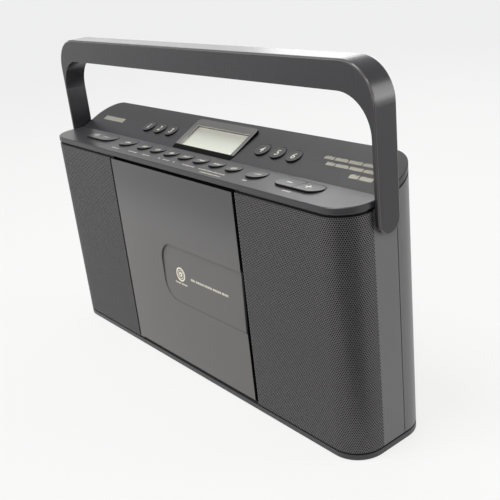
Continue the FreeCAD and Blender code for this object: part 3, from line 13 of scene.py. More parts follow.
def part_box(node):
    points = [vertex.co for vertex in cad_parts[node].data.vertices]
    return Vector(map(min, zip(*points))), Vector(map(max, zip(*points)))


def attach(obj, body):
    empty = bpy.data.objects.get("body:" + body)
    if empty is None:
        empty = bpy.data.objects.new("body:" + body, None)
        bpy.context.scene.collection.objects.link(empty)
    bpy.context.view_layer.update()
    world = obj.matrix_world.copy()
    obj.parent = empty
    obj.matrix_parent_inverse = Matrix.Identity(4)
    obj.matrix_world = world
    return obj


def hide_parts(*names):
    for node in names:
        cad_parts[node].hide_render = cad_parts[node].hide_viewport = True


MM = 0.001

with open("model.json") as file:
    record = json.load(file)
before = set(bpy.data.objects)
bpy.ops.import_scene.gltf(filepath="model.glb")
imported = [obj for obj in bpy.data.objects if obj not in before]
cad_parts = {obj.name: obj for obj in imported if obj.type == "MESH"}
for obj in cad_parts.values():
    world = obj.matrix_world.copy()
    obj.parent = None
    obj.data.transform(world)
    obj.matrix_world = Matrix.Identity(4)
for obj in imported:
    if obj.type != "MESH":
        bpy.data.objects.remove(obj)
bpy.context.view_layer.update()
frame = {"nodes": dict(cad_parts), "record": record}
bodies_of = {
    node: body for body, nodes in frame["record"]["behaviour"]["bodies"].items() for node in nodes
}


# ---------------------------------------------------------------- nodes written as expressions


class Lead:
    """One output socket; sums written on it add the nodes that work them out."""

    def __init__(self, board, socket):
        self.board = board
        self.socket = socket

    def math(self, operation, *values):
        return self.board.add("ShaderNodeMath", {"operation": operation}, dict(enumerate(values)))

    def __add__(self, other):
        return self.math("ADD", self, other)

    def __sub__(self, other):
        return self.math("SUBTRACT", self, other)

    def __rsub__(self, other):
        return self.math("SUBTRACT", other, self)

    def __mul__(self, other):
        return self.math("MULTIPLY", self, other)

    def __truediv__(self, other):
        return self.math("DIVIDE", self, other)

    def __mod__(self, other):
        return self.math("MODULO", self, other)

    def __pow__(self, other):
        return self.math("POWER", self, other)

    def __lt__(self, other):
        return self.math("LESS_THAN", self, other)

    __radd__ = __add__
    __rmul__ = __mul__

    def floor(self):
        return self.math("FLOOR", self)

    def at_most(self, other):
        return self.math("MINIMUM", self, other)

    def at_least(self, other):
        return self.math("MAXIMUM", self, other)

    def ease(self, low, high):
        """0 below low, 1 above high, and smooth between them."""
        return self.board.add(
            "ShaderNodeMapRange",
            {"interpolation_type": "SMOOTHSTEP"},
            {"Value": self, "From Min": low, "From Max": high},
        )


class Board:
    """A node tree that is filled by short calls."""

    def __init__(self, tree):
        self.tree = tree
        tree.nodes.clear()

    def add(self, kind, settings=None, sockets=None, out=0):
        node = self.tree.nodes.new(kind)
        for name, value in (settings or {}).items():
            setattr(node, name, value)
        for key, value in (sockets or {}).items():
            if isinstance(value, Lead):
                self.tree.links.new(value.socket, node.inputs[key])
            else:
                node.inputs[key].default_value = value
        return Lead(self, node.outputs[out]) if node.outputs else None

    def spot(self):
        return self.add("ShaderNodeTexCoord", out=3)

    def parts(self, vector):
        node = self.add("ShaderNodeSeparateXYZ", {}, {0: vector}).socket.node
        return [Lead(self, output) for output in node.outputs]

    def stretched(self, vector, scale):
        return self.add("ShaderNodeMapping", {}, {"Vector": vector, "Scale": scale})

    def noise(self, scale, detail=3.0, roughness=0.55, vector=None):
        return self.add(
            "ShaderNodeTexNoise",
            {},
            {"Vector": vector or self.spot(), "Scale": scale, "Detail": detail, "Roughness": roughness},
        )

    def cells(self, scale, feature="F1"):
        return self.add("ShaderNodeTexVoronoi", {"feature": feature}, {"Vector": self.spot(), "Scale": scale})

    def blend(self, factor, first, second, kind="MIX"):
        settings = {"data_type": "RGBA", "blend_type": kind}
        return self.add("ShaderNodeMix", settings, {0: factor, 6: first, 7: second}, out=2)

    def shaded(self, colour, share):
        """The colour made darker or lighter by a share."""
        grey = self.add("ShaderNodeCombineXYZ", {}, {0: share, 1: share, 2: share})
        return self.blend(1.0, colour, grey, "MULTIPLY")

    def relief(self, height, depth):
        return self.add("ShaderNodeBump", {}, {"Height": height, "Distance": depth, "Strength": 1.0})


def tone(red, green=None, blue=None):
    """A colour with its alpha; one number is a grey."""
    return (red, red if green is None else green, red if blue is None else blue, 1.0)


class Finish(Board):
    """One material and its surface."""

    def __init__(self, name):
        self.material = bpy.data.materials.new(name)
        self.material.use_nodes = True
        super().__init__(self.material.node_tree)

    def shader(self, **sockets):
        named = {name.replace("_", " "): value for name, value in sockets.items()}
        return self.add("ShaderNodeBsdfPrincipled", {}, named)

    def done(self, shader):
        self.add("ShaderNodeOutputMaterial", {}, {"Surface": shader})
        return self.material


# ---------------------------------------------------------------- camera

CAMERA_AIM = Vector((0.0875, -0.0325, 0.1227))
CAMERA_AZIMUTH = math.radians(52.93)
CAMERA_ELEVATION = math.radians(21.81)
CAMERA_ROLL = math.radians(-6.40)
CAMERA_DISTANCE = 0.494
CAMERA_LENS = 57.16


def make_camera():
    data = bpy.data.cameras.new("camera")
    data.lens = CAMERA_LENS
    data.clip_start = 0.01
    data.clip_end = 30.0
    camera = bpy.data.objects.new("camera", data)
    bpy.context.scene.collection.objects.link(camera)
    back = Vector(
        (
            math.sin(CAMERA_AZIMUTH) * math.cos(CAMERA_ELEVATION),
            -math.cos(CAMERA_AZIMUTH) * math.cos(CAMERA_ELEVATION),
            math.sin(CAMERA_ELEVATION),
        )
    )
    camera.location = CAMERA_AIM + back * CAMERA_DISTANCE
    camera.rotation_mode = "QUATERNION"
    turn = Quaternion((0, 0, 1), CAMERA_ROLL)
    camera.rotation_quaternion = (-back).to_track_quat("-Z", "Y") @ turn
    bpy.context.scene.camera = camera


# ---------------------------------------------------------------- table, room and lamps

ROOM_LOW = tone(0.95, 0.95, 0.955)
ROOM_HIGH = tone(0.62, 0.62, 0.63)
ROOM_LEFT = tone(0.25, 0.25, 0.26)
ROOM_SKIRTING = tone(2.5)
ROOM_LIGHT = 0.26
TABLE_RADIUS = 9.0
TABLE_NEAR = tone(0.982, 0.979, 0.975)
TABLE_FAR = tone(0.86, 0.86, 0.862)
TABLE_TONE = tone(0.80, 0.80, 0.80)
TABLE_SHADE = tone(0.12)

LAMPS = [
    # name, place, aim, width, height, power
    ("overhead", (0.0, -0.55, 1.55), (0.0, 0.0, 0.1), 0.6, 0.6, 13.0),
    ("left_wall", (-1.5, -1.9, 0.7), (0.0, 0.0, 0.1), 1.2, 1.2, 13.0),
    ("right_wall", (1.6, 1.5, 0.62), (0.0, 0.0, 0.1), 1.2, 1.1, 20.0),
    ("far_wall", (-1.04, 1.6, 0.82), (0.0, 0.0, 0.2), 1.1, 0.55, 5.4),
    ("high_left", (-0.99, 0.41, 1.51), (0.08, 0.0, 0.16), 0.55, 0.55, 1.9),
    ("front_right", (1.2, -1.05, 1.6), (0.1, 0.0, 0.15), 0.3, 0.3, 9.0),
]


def rays(board, *kinds):
    """1 for a ray of any of these kinds."""
    node = board.add("ShaderNodeLightPath").socket.node
    total = 0.0
    for kind in kinds:
        total = Lead(board, node.outputs[f"Is {kind} Ray"]) + total
    return total.at_most(1.0)


def seen_directly(board):
    """1 for a ray that comes from the camera, a reflection or a clear window."""
    return rays(board, "Camera", "Glossy", "Transmission")


def make_room():
    world = bpy.data.worlds.new("room")
    bpy.context.scene.world = world
    world.use_nodes = True
    board = Board(world.node_tree)
    x, y, z = board.parts(board.add("ShaderNodeTexCoord"))
    walls = board.blend(z.ease(0.30, 0.75), ROOM_LOW, ROOM_HIGH)
    walls = board.blend((0.0 - x).ease(0.80, 0.95) * 0.7, walls, ROOM_LEFT)
    walls = board.blend(z.ease(-0.02, 0.05), TABLE_FAR, walls)
    skirting = (1.0 - z.ease(0.10, 0.22)) * z.ease(-0.02, 0.02) * rays(board, "Glossy")
    walls = board.blend(skirting, walls, ROOM_SKIRTING)
    colour = board.blend(seen_directly(board), tone(ROOM_LIGHT), walls)
    light = board.add("ShaderNodeBackground", {}, {"Color": colour, "Strength": 1.0})
    board.add("ShaderNodeOutputWorld", {}, {"Surface": light})


def mesh_from(bm, name):
    mesh = bpy.data.meshes.new(name)
    bm.to_mesh(mesh)
    bm.free()
    return mesh


def make_table():
    bm = bmesh.new()
    bmesh.ops.create_circle(bm, cap_ends=True, segments=96, radius=TABLE_RADIUS)
    mesh = mesh_from(bm, "table")
    table = bpy.data.objects.new("table", mesh)
    bpy.context.scene.collection.objects.link(table)
    finish = Finish("table_top")
    x, y, z = finish.parts(finish.spot())
    away = (x * x + y * y) ** 0.5
    speck = finish.noise(900.0, 2.0)
    paint = finish.shader(
        Base_Color=finish.blend(speck, TABLE_TONE, tone(0.82)), Roughness=0.6, Specular_IOR_Level=0.3
    )
    # The table glows brighter near the case, a painted pool of light, and dims away from it.
    shine = finish.blend(away.ease(0.25, 1.7), TABLE_NEAR, TABLE_FAR)
    # Painted shadow in the table's reflections, front right of the case, for glossy rays only.
    shaded = x.ease(0.17, 0.25) * (0.0 - y).ease(0.0, 0.06) * rays(finish, "Glossy") * 0.95
    shine = finish.blend(shaded, shine, TABLE_SHADE)
    glow = finish.add("ShaderNodeEmission", {}, {"Color": shine, "Strength": 1.0})
    share = seen_directly(finish) * (0.79 + 0.21 * away.ease(0.35, 1.6))
    mesh.materials.append(
        finish.done(finish.add("ShaderNodeMixShader", {}, {0: share, 1: paint, 2: glow}))
    )


def make_lamp(name, place, aim, width, height, power):
    data = bpy.data.lights.new(name, "AREA")
    data.shape = "RECTANGLE"
    data.size = width
    data.size_y = height
    data.energy = power
    lamp = bpy.data.objects.new(name, data)
    bpy.context.scene.collection.objects.link(lamp)
    lamp.location = place
    lamp.rotation_mode = "QUATERNION"
    lamp.rotation_quaternion = (Vector(aim) - Vector(place)).to_track_quat("-Z", "Y")


# ---------------------------------------------------------------- finishes


def moulded(name, colour, rough, grain=0.45, depth=0.010, mottle=0.05, gloss=0.5, wiped=0.10, speck=0.16):
    """Moulded plastic: fine spark grain, slow drift in tone and a faint wipe in the gloss; grain in mm."""
    finish = Finish(name)
    drift = finish.noise(14.0, 2.0)
    fine = finish.noise(1.0 / (grain * MM), 2.5, 0.6)
    pits = finish.cells(1.0 / (grain * 0.8 * MM))
    base = finish.shaded(tone(*colour), (drift - 0.5) * mottle * 2.0 + (fine - 0.5) * speck + 1.0)
    wipe = finish.noise(38.0, 4.0, 0.65, finish.stretched(finish.spot(), (1.0, 1.0, 0.35)))
    height = fine * 0.6 + pits * 0.4
    return finish.done(
        finish.shader(
            Base_Color=base,
            Roughness=rough + (wipe - 0.5) * wiped + (fine - 0.5) * speck * 0.3,
            Specular_IOR_Level=gloss,
            Normal=finish.relief(height, depth * MM),
        )
    )


def metal(name, colour, rough, brushed=(1.0, 1.0, 1.0), scratch=0.004):
    """Bare or plated metal with a drawn grain along one axis."""
    finish = Finish(name)
    grain = finish.noise(2600.0, 3.0, 0.6, finish.stretched(finish.spot(), brushed))
    cloud = finish.noise(60.0, 3.0)
    base = finish.shaded(tone(*colour), 1.0 + (cloud - 0.5) * 0.12 + (grain - 0.5) * 0.10)
    return finish.done(
        finish.shader(
            Base_Color=base,
            Metallic=1.0,
            Roughness=rough + (grain - 0.5) * 0.14 + (cloud - 0.5) * 0.08,
            Normal=finish.relief(grain, scratch * MM),
        )
    )


def print_ink(name, colour):
    """Printed ink that lets a little of the plastic through."""
    finish = Finish(name)
    worn = finish.noise(2400.0, 3.0, 0.7)
    thin = tone(colour[0] * 0.8, colour[1] * 0.8, colour[2] * 0.78)
    base = finish.blend(worn.ease(0.35, 0.6), thin, tone(*colour))
    return finish.done(
        finish.shader(Base_Color=base, Roughness=0.45 + worn * 0.1, Normal=finish.relief(worn, 0.004 * MM))
    )


def board_green():
    """A circuit board: solder mask over tracks, with bare pads."""
    finish = Finish("board_green")
    x, y, z = finish.parts(finish.spot())
    tracks = finish.cells(190.0, feature="DISTANCE_TO_EDGE")
    pads = finish.cells(420.0)
    mask = finish.blend(tracks.ease(0.03, 0.06), tone(0.05, 0.16, 0.07), tone(0.02, 0.09, 0.04))
    base = finish.blend(pads < 0.16, mask, tone(0.55, 0.52, 0.42))
    return finish.done(
        finish.shader(
            Base_Color=base,
            Roughness=0.35 + 0.1 * finish.noise(300.0),
            Coat_Weight=0.3,
            Normal=finish.relief(tracks.ease(0.03, 0.06), 0.03 * MM),
        )
    )


def paper_cone():
    """Pressed paper of a loudspeaker cone."""
    finish = Finish("cone_paper")
    fibre = finish.noise(1500.0, 4.0, 0.7)
    base = finish.blend(fibre, tone(0.020, 0.019, 0.018), tone(0.05, 0.048, 0.045))
    return finish.done(
        finish.shader(Base_Color=base, Roughness=0.8 + 0.1 * fibre, Normal=finish.relief(fibre, 0.05 * MM))
    )


def soft_foot():
    """Dull black rubber."""
    finish = Finish("foot_rubber")
    fine = finish.noise(3000.0, 3.0, 0.6)
    base = finish.blend(fine, tone(0.014), tone(0.03))
    return finish.done(
        finish.shader(Base_Color=base, Roughness=0.75 + 0.12 * fine, Normal=finish.relief(fine, 0.02 * MM))
    )


def coil_iron():
    """Transformer laminations: thin plates stacked along the width."""
    finish = Finish("transformer_iron")
    x, y, z = finish.parts(finish.spot())
    plates = ((x * 2000.0) % 1.0).ease(0.0, 0.25)
    rust = finish.noise(260.0, 4.0, 0.65)
    base = finish.blend(rust.ease(0.45, 0.75), tone(0.10, 0.10, 0.105), tone(0.16, 0.11, 0.08))
    return finish.done(
        finish.shader(
            Base_Color=base,
            Metallic=0.7,
            Roughness=0.45 + 0.2 * rust,
            Normal=finish.relief(plates, 0.05 * MM),
        )
    )


def lens_blue():
    """The pickup's coated lens."""
    finish = Finish("lens_glass")
    smear = finish.noise(500.0, 2.0)
    base = finish.blend(smear, tone(0.02, 0.03, 0.10), tone(0.06, 0.04, 0.16))
    return finish.done(
        finish.shader(
            Base_Color=base,
            Roughness=0.05 + 0.05 * smear,
            Coat_Weight=1.0,
            Coat_Roughness=0.02,
            Normal=finish.relief(smear, 0.002 * MM),
        )
    )


LCD_SHADED = (11.0 * MM, 21.0 * MM)
LCD_TOP_MARGIN = (20.6 * MM, 21.0 * MM)
LCD_LEFT_MARGIN = (-28.2 * MM, -27.8 * MM)
LCD_SHADE = tone(0.64, 0.62, 0.55)
LCD_MARGIN = tone(0.74, 0.72, 0.66)


def liquid_crystal():
    """A blank reflective display, pale grey green: painted shade under its head, a pale margin, a painted
    glow.
    """
    finish = Finish("display_glass")
    x, y, z = finish.parts(finish.spot())
    fine = finish.noise(4000.0, 2.0)
    slow = finish.noise(25.0, 2.0)
    base = finish.blend(fine * 0.5 + slow * 0.5, tone(0.80, 0.82, 0.73), tone(0.88, 0.90, 0.81))
    # Painted shadow of the tray's head over the upper part of the panel.
    base = finish.blend(y.ease(*LCD_SHADED) * 0.9, base, LCD_SHADE)
    margin = y.ease(*LCD_TOP_MARGIN).at_least(1.0 - x.ease(*LCD_LEFT_MARGIN))
    base = finish.blend(margin, base, LCD_MARGIN)
    # The faint emission is a painted glow: the panel is no lamp.
    return finish.done(
        finish.shader(
            Base_Color=base,
            Roughness=0.28 + 0.1 * fine,
            Normal=finish.relief(fine, 0.003 * MM),
            Emission_Color=base,
            Emission_Strength=0.24,
        )
    )


def sheet_metal(name, colour, rough):
    """Painted perforated sheet: powder grain over metal."""
    finish = Finish(name)
    powder = finish.noise(2800.0, 2.5, 0.6)
    slow = finish.noise(20.0, 2.0)
    darker, lighter = (tone(*[part * share for part in colour]) for share in (0.8, 1.2))
    base = finish.blend(powder * 0.6 + slow * 0.4, darker, lighter)
    return finish.done(
        finish.shader(
            Base_Color=base,
            Metallic=0.7,
            Roughness=rough + (powder - 0.5) * 0.1,
            Normal=finish.relief(powder, 0.006 * MM),
        )
    )


def hollow_dark():
    """The inside of a perforation as painted shade: dark grey on its lip, and near black behind."""
    finish = Finish("hole_dark")
    fine = finish.noise(1200.0, 2.0)
    deep = finish.add("ShaderNodeAttribute", {"attribute_name": "deep"}, out=2)
    # Painted shade: dark at the lip, near black towards the deepest point.
    base = finish.blend(deep.ease(0.0, 0.35), tone(0.018), finish.blend(fine, tone(0.001), tone(0.003)))
    return finish.done(
        finish.shader(
            Base_Color=base,
            Roughness=0.85 + 0.1 * fine,
            Specular_IOR_Level=0.1,
            Normal=finish.relief(fine, 0.01 * MM),
        )
    )


def door_satin():
    """The door's satin face: a denser grain, a tone that warms towards its foot, and painted shade along its
    top.
    """
    finish = Finish("door_panel")
    x, y, z = finish.parts(finish.spot())
    fine = finish.noise(2600.0, 2.5, 0.6)
    slow = finish.noise(9.0, 2.0)
    drop = z.ease(0.02, 0.15)
    body = finish.blend(drop, tone(0.130, 0.123, 0.117), tone(0.128, 0.125, 0.125))
    # Painted shade: the face darkens towards its top, under the edge of the cap.
    body = finish.blend(z.ease(0.112, 0.155), body, tone(0.071, 0.069, 0.071))
    base = finish.blend(fine * 0.12 + slow * 0.10, body, tone(0.06))
    wipe = finish.noise(24.0, 4.0, 0.6, finish.stretched(finish.spot(), (1.0, 1.0, 0.3)))
    return finish.done(
        finish.shader(
            Base_Color=base,
            Metallic=0.25,
            Roughness=0.34 + (wipe - 0.5) * 0.08 + (fine - 0.5) * 0.05,
            Normal=finish.relief(fine, 0.006 * MM),
        )
    )


def clear_pane():
    """Thin clear window: it lets the panel show and mirrors more towards a low angle."""
    finish = Finish("clear_pane")
    fine = finish.noise(1800.0, 2.0)
    gloss = finish.shader(
        Base_Color=tone(0.03),
        Metallic=0.0,
        Roughness=0.05 + 0.04 * fine,
        Normal=finish.relief(fine, 0.001 * MM),
    )
    clear = finish.add("ShaderNodeBsdfTransparent", {}, {"Color": tone(0.99, 0.995, 0.99)})
    slant = finish.add("ShaderNodeLayerWeight", {}, {"Blend": 0.5}, out=1)
    mirror = slant ** 5.0 * 0.9 + 0.04
    return finish.done(finish.add("ShaderNodeMixShader", {}, {0: mirror, 1: clear, 2: gloss}))


FINISHES = {
    "case_plastic": moulded("case_plastic", (0.108, 0.105, 0.107), 0.36, depth=0.006),
    "cap_plastic": moulded("cap_plastic", (0.030, 0.0295, 0.032), 0.36, grain=0.35, gloss=0.46),
    "door_panel": door_satin(),
    "handle_plastic": moulded(
        "handle_plastic",
        (0.021, 0.0208, 0.0235),
        0.27,
        grain=0.30,
        depth=0.0012,
        gloss=0.42,
        wiped=0.03,
        speck=0.06,
    ),
    "key_plastic": moulded("key_plastic", (0.034, 0.034, 0.036), 0.34, grain=0.30, depth=0.006, gloss=0.46),
    "grille_metal": sheet_metal("grille_metal", (0.128, 0.124, 0.127), 0.38),
    "foot_rubber": soft_foot(),
    "display_window": moulded("display_window", (0.205, 0.202, 0.192), 0.18, grain=1.0, depth=0.002),
    "display_glass": liquid_crystal(),
    "circuit_board": board_green(),
    "black_plastic": moulded("black_plastic", (0.018, 0.018, 0.019), 0.45, grain=0.5),
    "white_plastic": moulded("white_plastic", (0.72, 0.71, 0.67), 0.38, grain=0.5, mottle=0.02),
    "steel": metal("steel", (0.52, 0.52, 0.53), 0.32),
    "zinc_metal": metal("zinc_metal", (0.42, 0.43, 0.44), 0.45),
    "bright_metal": metal("bright_metal", (0.80, 0.80, 0.82), 0.14, brushed=(0.05, 1.0, 1.0), scratch=0.001),
    "cone_paper": paper_cone(),
    "lens_glass": lens_blue(),
    "transformer_iron": coil_iron(),
}
HOLE_SHADE = hollow_dark()
CREAM_INK = print_ink("cream_ink", (0.95, 0.90, 0.74))
GOLD_PLATE = print_ink("pale_gold", (0.47, 0.45, 0.37))
# Black used as painted shade: on key sides, in the case's gaps, on the door's edges and under the cap.
PAINTED_SHADE = moulded("key_skirt", (0.003, 0.003, 0.003), 0.55, grain=0.5, gloss=0.10)
WINDOW_BLACK = moulded("window_black", (0.003, 0.003, 0.003), 0.30, grain=2.0, depth=0.001, gloss=0.08)
# A lighter, glossier tone on the handle's edges: a painted highlight.
HANDLE_EDGE_HIGHLIGHT = moulded("handle_rim", (0.070, 0.064, 0.062), 0.20, grain=0.5, depth=0.001, gloss=0.7)
DISPLAY_TRAY = moulded("display_tray", (0.80, 0.785, 0.73), 0.45, grain=1.0, mottle=0.02)
CLEAR_PANE = clear_pane()

SLOT_OF = {node: thing.material_slots[0].name.split(".")[0] for node, thing in frame["nodes"].items()}


# ---------------------------------------------------------------- making pieces

FRONT_Y = -0.0325
SIDE_X = 0.1718
CORNER_R = 20.0 * MM
WELD = 0.001 * MM
SHOWN = {}
CAST = {}
SHARP_ANGLE = math.radians(32.0)


def place_piece(mesh, name, body, stands_for=()):
    """Lets a mesh ride on a body under its own name, in place of the CAD nodes it stands for."""
    piece = bpy.data.objects.new(name, mesh)
    bpy.context.scene.collection.objects.link(piece)
    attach(piece, body)
    if stands_for:
        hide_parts(*stands_for)


def welded(node):
    """A CAD node's shape as one closed mesh that keeps its own corner normals."""
    mesh = frame["nodes"][node].data.copy()
    kept = mesh.attributes.new("own_normal", "FLOAT_VECTOR", "CORNER")
    normals = np.array([normal.vector for normal in mesh.corner_normals], np.float32)
    kept.data.foreach_set("vector", normals.ravel())
    bm = bmesh.new()
    bm.from_mesh(mesh)
    bmesh.ops.remove_doubles(bm, verts=bm.verts, dist=WELD)
    bmesh.ops.dissolve_degenerate(bm, edges=bm.edges, dist=0.0001 * MM)
    bm.to_mesh(mesh)
    bm.free()
    normals = np.zeros(len(mesh.loops) * 3, np.float32)
    mesh.attributes["own_normal"].data.foreach_get("vector", normals)
    mesh.attributes.remove(mesh.attributes["own_normal"])
    mesh.polygons.foreach_set("use_smooth", [True] * len(mesh.polygons))
    mesh.normals_split_custom_set(normals.reshape(-1, 3))
    mesh.materials.clear()
    mesh.materials.append(FINISHES[SLOT_OF[node]])
    return mesh


def shade(mesh):
    """Smooth faces with sharp edges where the shape turns by more than the sharp angle."""
    mesh.polygons.foreach_set("use_smooth", [True] * len(mesh.polygons))
    mesh.set_sharp_from_angle(angle=SHARP_ANGLE)


RECESS_CAD = 0.8 * MM
RECESS_FOOT = 0.22 * MM
RECESS_HEAD = 1.5 * MM
RECESS_ABOVE = 0.05
DOOR_EDGE_X = 0.0732
DOOR_TOP_Z = 0.157


def lean_recess(mesh):
    """Leans the door's finger recess: nearly flush at its foot and deep under its upper edge."""
    front = min(vert.co.y for vert in mesh.vertices)
    floor = [
        vert
        for vert in mesh.vertices
        if abs(vert.co.y - front - RECESS_CAD) < 0.01 * MM and vert.co.z > RECESS_ABOVE
    ]
    low, high = min(vert.co.z for vert in floor), max(vert.co.z for vert in floor)
    for vert in floor:
        share = (vert.co.z - low) / (high - low)
        vert.co.y = front + RECESS_FOOT + (RECESS_HEAD - RECESS_FOOT) * share
    mesh.attributes.remove(mesh.attributes["custom_normal"])
    bm = bmesh.new()
    bm.from_mesh(mesh)
    everything = bm.verts[:] + bm.edges[:] + bm.faces[:]
    # A cut at the door's free edge, so the strip beside the recess can take painted shade.
    edge = {"plane_co": (DOOR_EDGE_X, 0, 0), "plane_no": (1, 0, 0)}
    bmesh.ops.bisect_plane(bm, geom=everything, dist=WELD, **edge)
    bm.to_mesh(mesh)
    bm.free()
    shade(mesh)
    SHOWN["door"] = mesh


def repaint_where(mesh, finish, chosen):
    """Gives the faces that a test chooses another finish."""
    mesh.materials.append(finish)
    for face in mesh.polygons:
        if chosen(face.center, face.normal):
            face.material_index = len(mesh.materials) - 1


DOOR_SIDE_X = 0.0749
ABOVE_DOOR_X = 0.076
ABOVE_DOOR_Z = 0.1575
BESIDE_DOOR_X = 0.0785
FACE_INSET = 0.5 * MM
SHEET_INSET = 1.6 * MM


def in_joint(centre, normal):
    """Front shell: the wall behind the sheets, and the joints beside and above the door, painted black as
    shade.
    """
    x, y = abs(centre.x), centre.y - FRONT_Y
    if x > SIDE_X - CORNER_R and y < CORNER_R:
        inset = CORNER_R - math.hypot(x - SIDE_X + CORNER_R, CORNER_R - y)
    else:
        inset = min(SIDE_X - x, y)
    behind_sheet = x > DOOR_SIDE_X and FACE_INSET < inset < SHEET_INSET
    beside_door = DOOR_SIDE_X < x < BESIDE_DOOR_X and inset > FACE_INSET
    above_door = x < ABOVE_DOOR_X and centre.z > ABOVE_DOOR_Z and inset > FACE_INSET
    return above_door or behind_sheet or beside_door


def in_door_edge(centre, normal):
    """Door: its free edge with the strip beside the recess, and its upper edge, painted black as shade."""
    outer = centre.x > DOOR_EDGE_X and (normal.x > 0.35 or centre.y > FRONT_Y + 0.1 * MM)
    return outer or normal.z > 0.5 and centre.z > DOOR_TOP_Z


# Cap: its underside, painted black as the shade in the gap below it.
def faces_down(centre, normal):
    return normal.z < -0.5


def on_handle_rim(centre, normal):
    """Handle: the rounded edges between its front, back and sides, which carry a painted highlight."""
    return 0.2 < abs(normal.y) < 0.95


# Key sides take black as painted shade: the dark crescent of gap and wall round each key.
def on_key_side(centre, normal):
    return normal.z < 0.62


# Faces painted black as shade in gaps and under the cap, and the handle's edges with a painted highlight.
REPAINTED = {
    "front_shell": (PAINTED_SHADE, in_joint),
    "door": (PAINTED_SHADE, in_door_edge),
    "top_cap": (PAINTED_SHADE, faces_down),
    "handle": (HANDLE_EDGE_HIGHLIGHT, on_handle_rim),
}


def dress(node):
    """Stands a welded copy of a node in its place."""
    mesh = welded(node)
    if node == "door":
        lean_recess(mesh)
    if node in REPAINTED:
        repaint_where(mesh, *REPAINTED[node])
    # Each key's sides are painted black as shade.
    if SLOT_OF[node] == "key_plastic":
        repaint_where(mesh, PAINTED_SHADE, on_key_side)
    place_piece(mesh, f"{node}_shell", bodies_of[node], [node])


# ---------------------------------------------------------------- repeated shapes from node trees


def node_tree(name, inputs):
    """A geometry tree with named inputs; gives its board and the leads of those inputs."""
    tree = bpy.data.node_groups.new(name, "GeometryNodeTree")
    board = Board(tree)
    for label, kind in inputs.items():
        tree.interface.new_socket(label, in_out="INPUT", socket_type=kind)
    tree.interface.new_socket("Shape", in_out="OUTPUT", socket_type="NodeSocketGeometry")
    entry = board.add("NodeGroupInput").socket.node
    return board, {label: Lead(board, entry.outputs[label]) for label in inputs}


def plain_mesh(thing):
    """The mesh of an object after its modifiers."""
    bpy.context.view_layer.update()
    return bpy.data.meshes.new_from_object(thing.evaluated_get(bpy.context.evaluated_depsgraph_get()))


def grown_by(tree, values):
    """The plain mesh that a tree makes with these input values."""
    holder = bpy.data.objects.new("holder", bpy.data.meshes.new("holder"))
    bpy.context.scene.collection.objects.link(holder)
    modifier = holder.modifiers.new("grow", "NODES")
    modifier.node_group = tree
    for item in tree.interface.items_tree:
        if item.in_out == "INPUT":
            modifier[item.identifier] = values[item.name]
    mesh = plain_mesh(holder)
    bpy.data.objects.remove(holder)
    return mesh


def perforation_tree():
    """Staggered rows of one tile, each second row moved by half a pitch."""
    board, given = node_tree(
        "perforation",
        {
            "Tile": "NodeSocketObject",
            "Pitch": "NodeSocketFloat",
            "Row Height": "NodeSocketFloat",
            "Columns": "NodeSocketInt",
            "Rows": "NodeSocketInt",
            "Sheet Finish": "NodeSocketMaterial",
            "Hole Finish": "NodeSocketMaterial",
        },
    )
    wide = (given["Columns"] - 1.0) * given["Pitch"]
    tall = (given["Rows"] - 1.0) * given["Row Height"]
    grid = board.add(
        "GeometryNodeMeshGrid",
        {},
        {"Size X": wide, "Size Y": tall, "Vertices X": given["Columns"], "Vertices Y": given["Rows"]},
    )
    x, y, z = board.parts(board.add("GeometryNodeInputPosition"))
    up = y + tall / 2.0
    row = (up / given["Row Height"] + 0.5).floor()
    along = x + wide / 2.0 + (row % 2.0) * given["Pitch"] / 2.0
    place = board.add("ShaderNodeCombineXYZ", {}, {0: along, 1: 0.0, 2: up})
    points = board.add("GeometryNodeSetPosition", {}, {"Geometry": grid, "Position": place})
    tile = board.add("GeometryNodeObjectInfo", {}, {"Object": given["Tile"]}, out=4)
    tiles = board.add("GeometryNodeInstanceOnPoints", {}, {"Points": points, "Instance": tile})
    real = board.add("GeometryNodeRealizeInstances", {}, {"Geometry": tiles})
    sheet = board.add("GeometryNodeMergeByDistance", {}, {"Geometry": real, "Distance": TILE_GAP})
    painted = board.add("GeometryNodeSetMaterial", {}, {"Geometry": sheet, "Material": given["Sheet Finish"]})
    hole = board.add("GeometryNodeInputNamedAttribute", {"data_type": "BOOLEAN"}, {"Name": "hole"})
    sockets = {"Geometry": painted, "Selection": hole, "Material": given["Hole Finish"]}
    board.add("NodeGroupOutput", {}, {0: board.add("GeometryNodeSetMaterial", {}, sockets)})
    return board.tree


# ---------------------------------------------------------------- perforated grilles

HOLE_PITCH = 1.36 * MM
HOLE_R = 0.52 * MM
HOLE_DEEP = 0.80 * MM
SHEET_T = 1.0 * MM
SHEET_DROP = 0.8 * MM
TILE_GAP = 0.005 * MM


def hole_tile(pitch, row):
    """One tile of the sheet: a six-sided rim in the middle that falls to a point behind."""
    rim = [
        (pitch / 2 + HOLE_R * math.cos(math.radians(a)), 0.0, row / 2 + HOLE_R * math.sin(math.radians(a)))
        for a in (210, 270, 330, 30, 90, 150)
    ]
    edge = [(0, 0, 0), (pitch / 2, 0, 0), (pitch, 0, 0), (pitch, 0, row), (pitch / 2, 0, row), (0, 0, row)]
    faces = [(i, (i + 1) % 6, 6 + (i + 1) % 6, 6 + i) for i in range(6)]
    faces += [(6 + i, 6 + (i + 1) % 6, 12) for i in range(6)]
    mesh = bpy.data.meshes.new("tile")
    mesh.from_pydata(edge + rim + [(pitch / 2, HOLE_DEEP, row / 2)], [], faces)
    mark = mesh.attributes.new("hole", "BOOLEAN", "FACE")
    mark.data.foreach_set("value", [False] * 6 + [True] * 6)
    deep = mesh.attributes.new("deep", "FLOAT", "POINT")
    deep.data.foreach_set("value", [0.0] * 12 + [1.0])
    tile = bpy.data.objects.new("tile", mesh)
    bpy.context.scene.collection.objects.link(tile)
    return tile


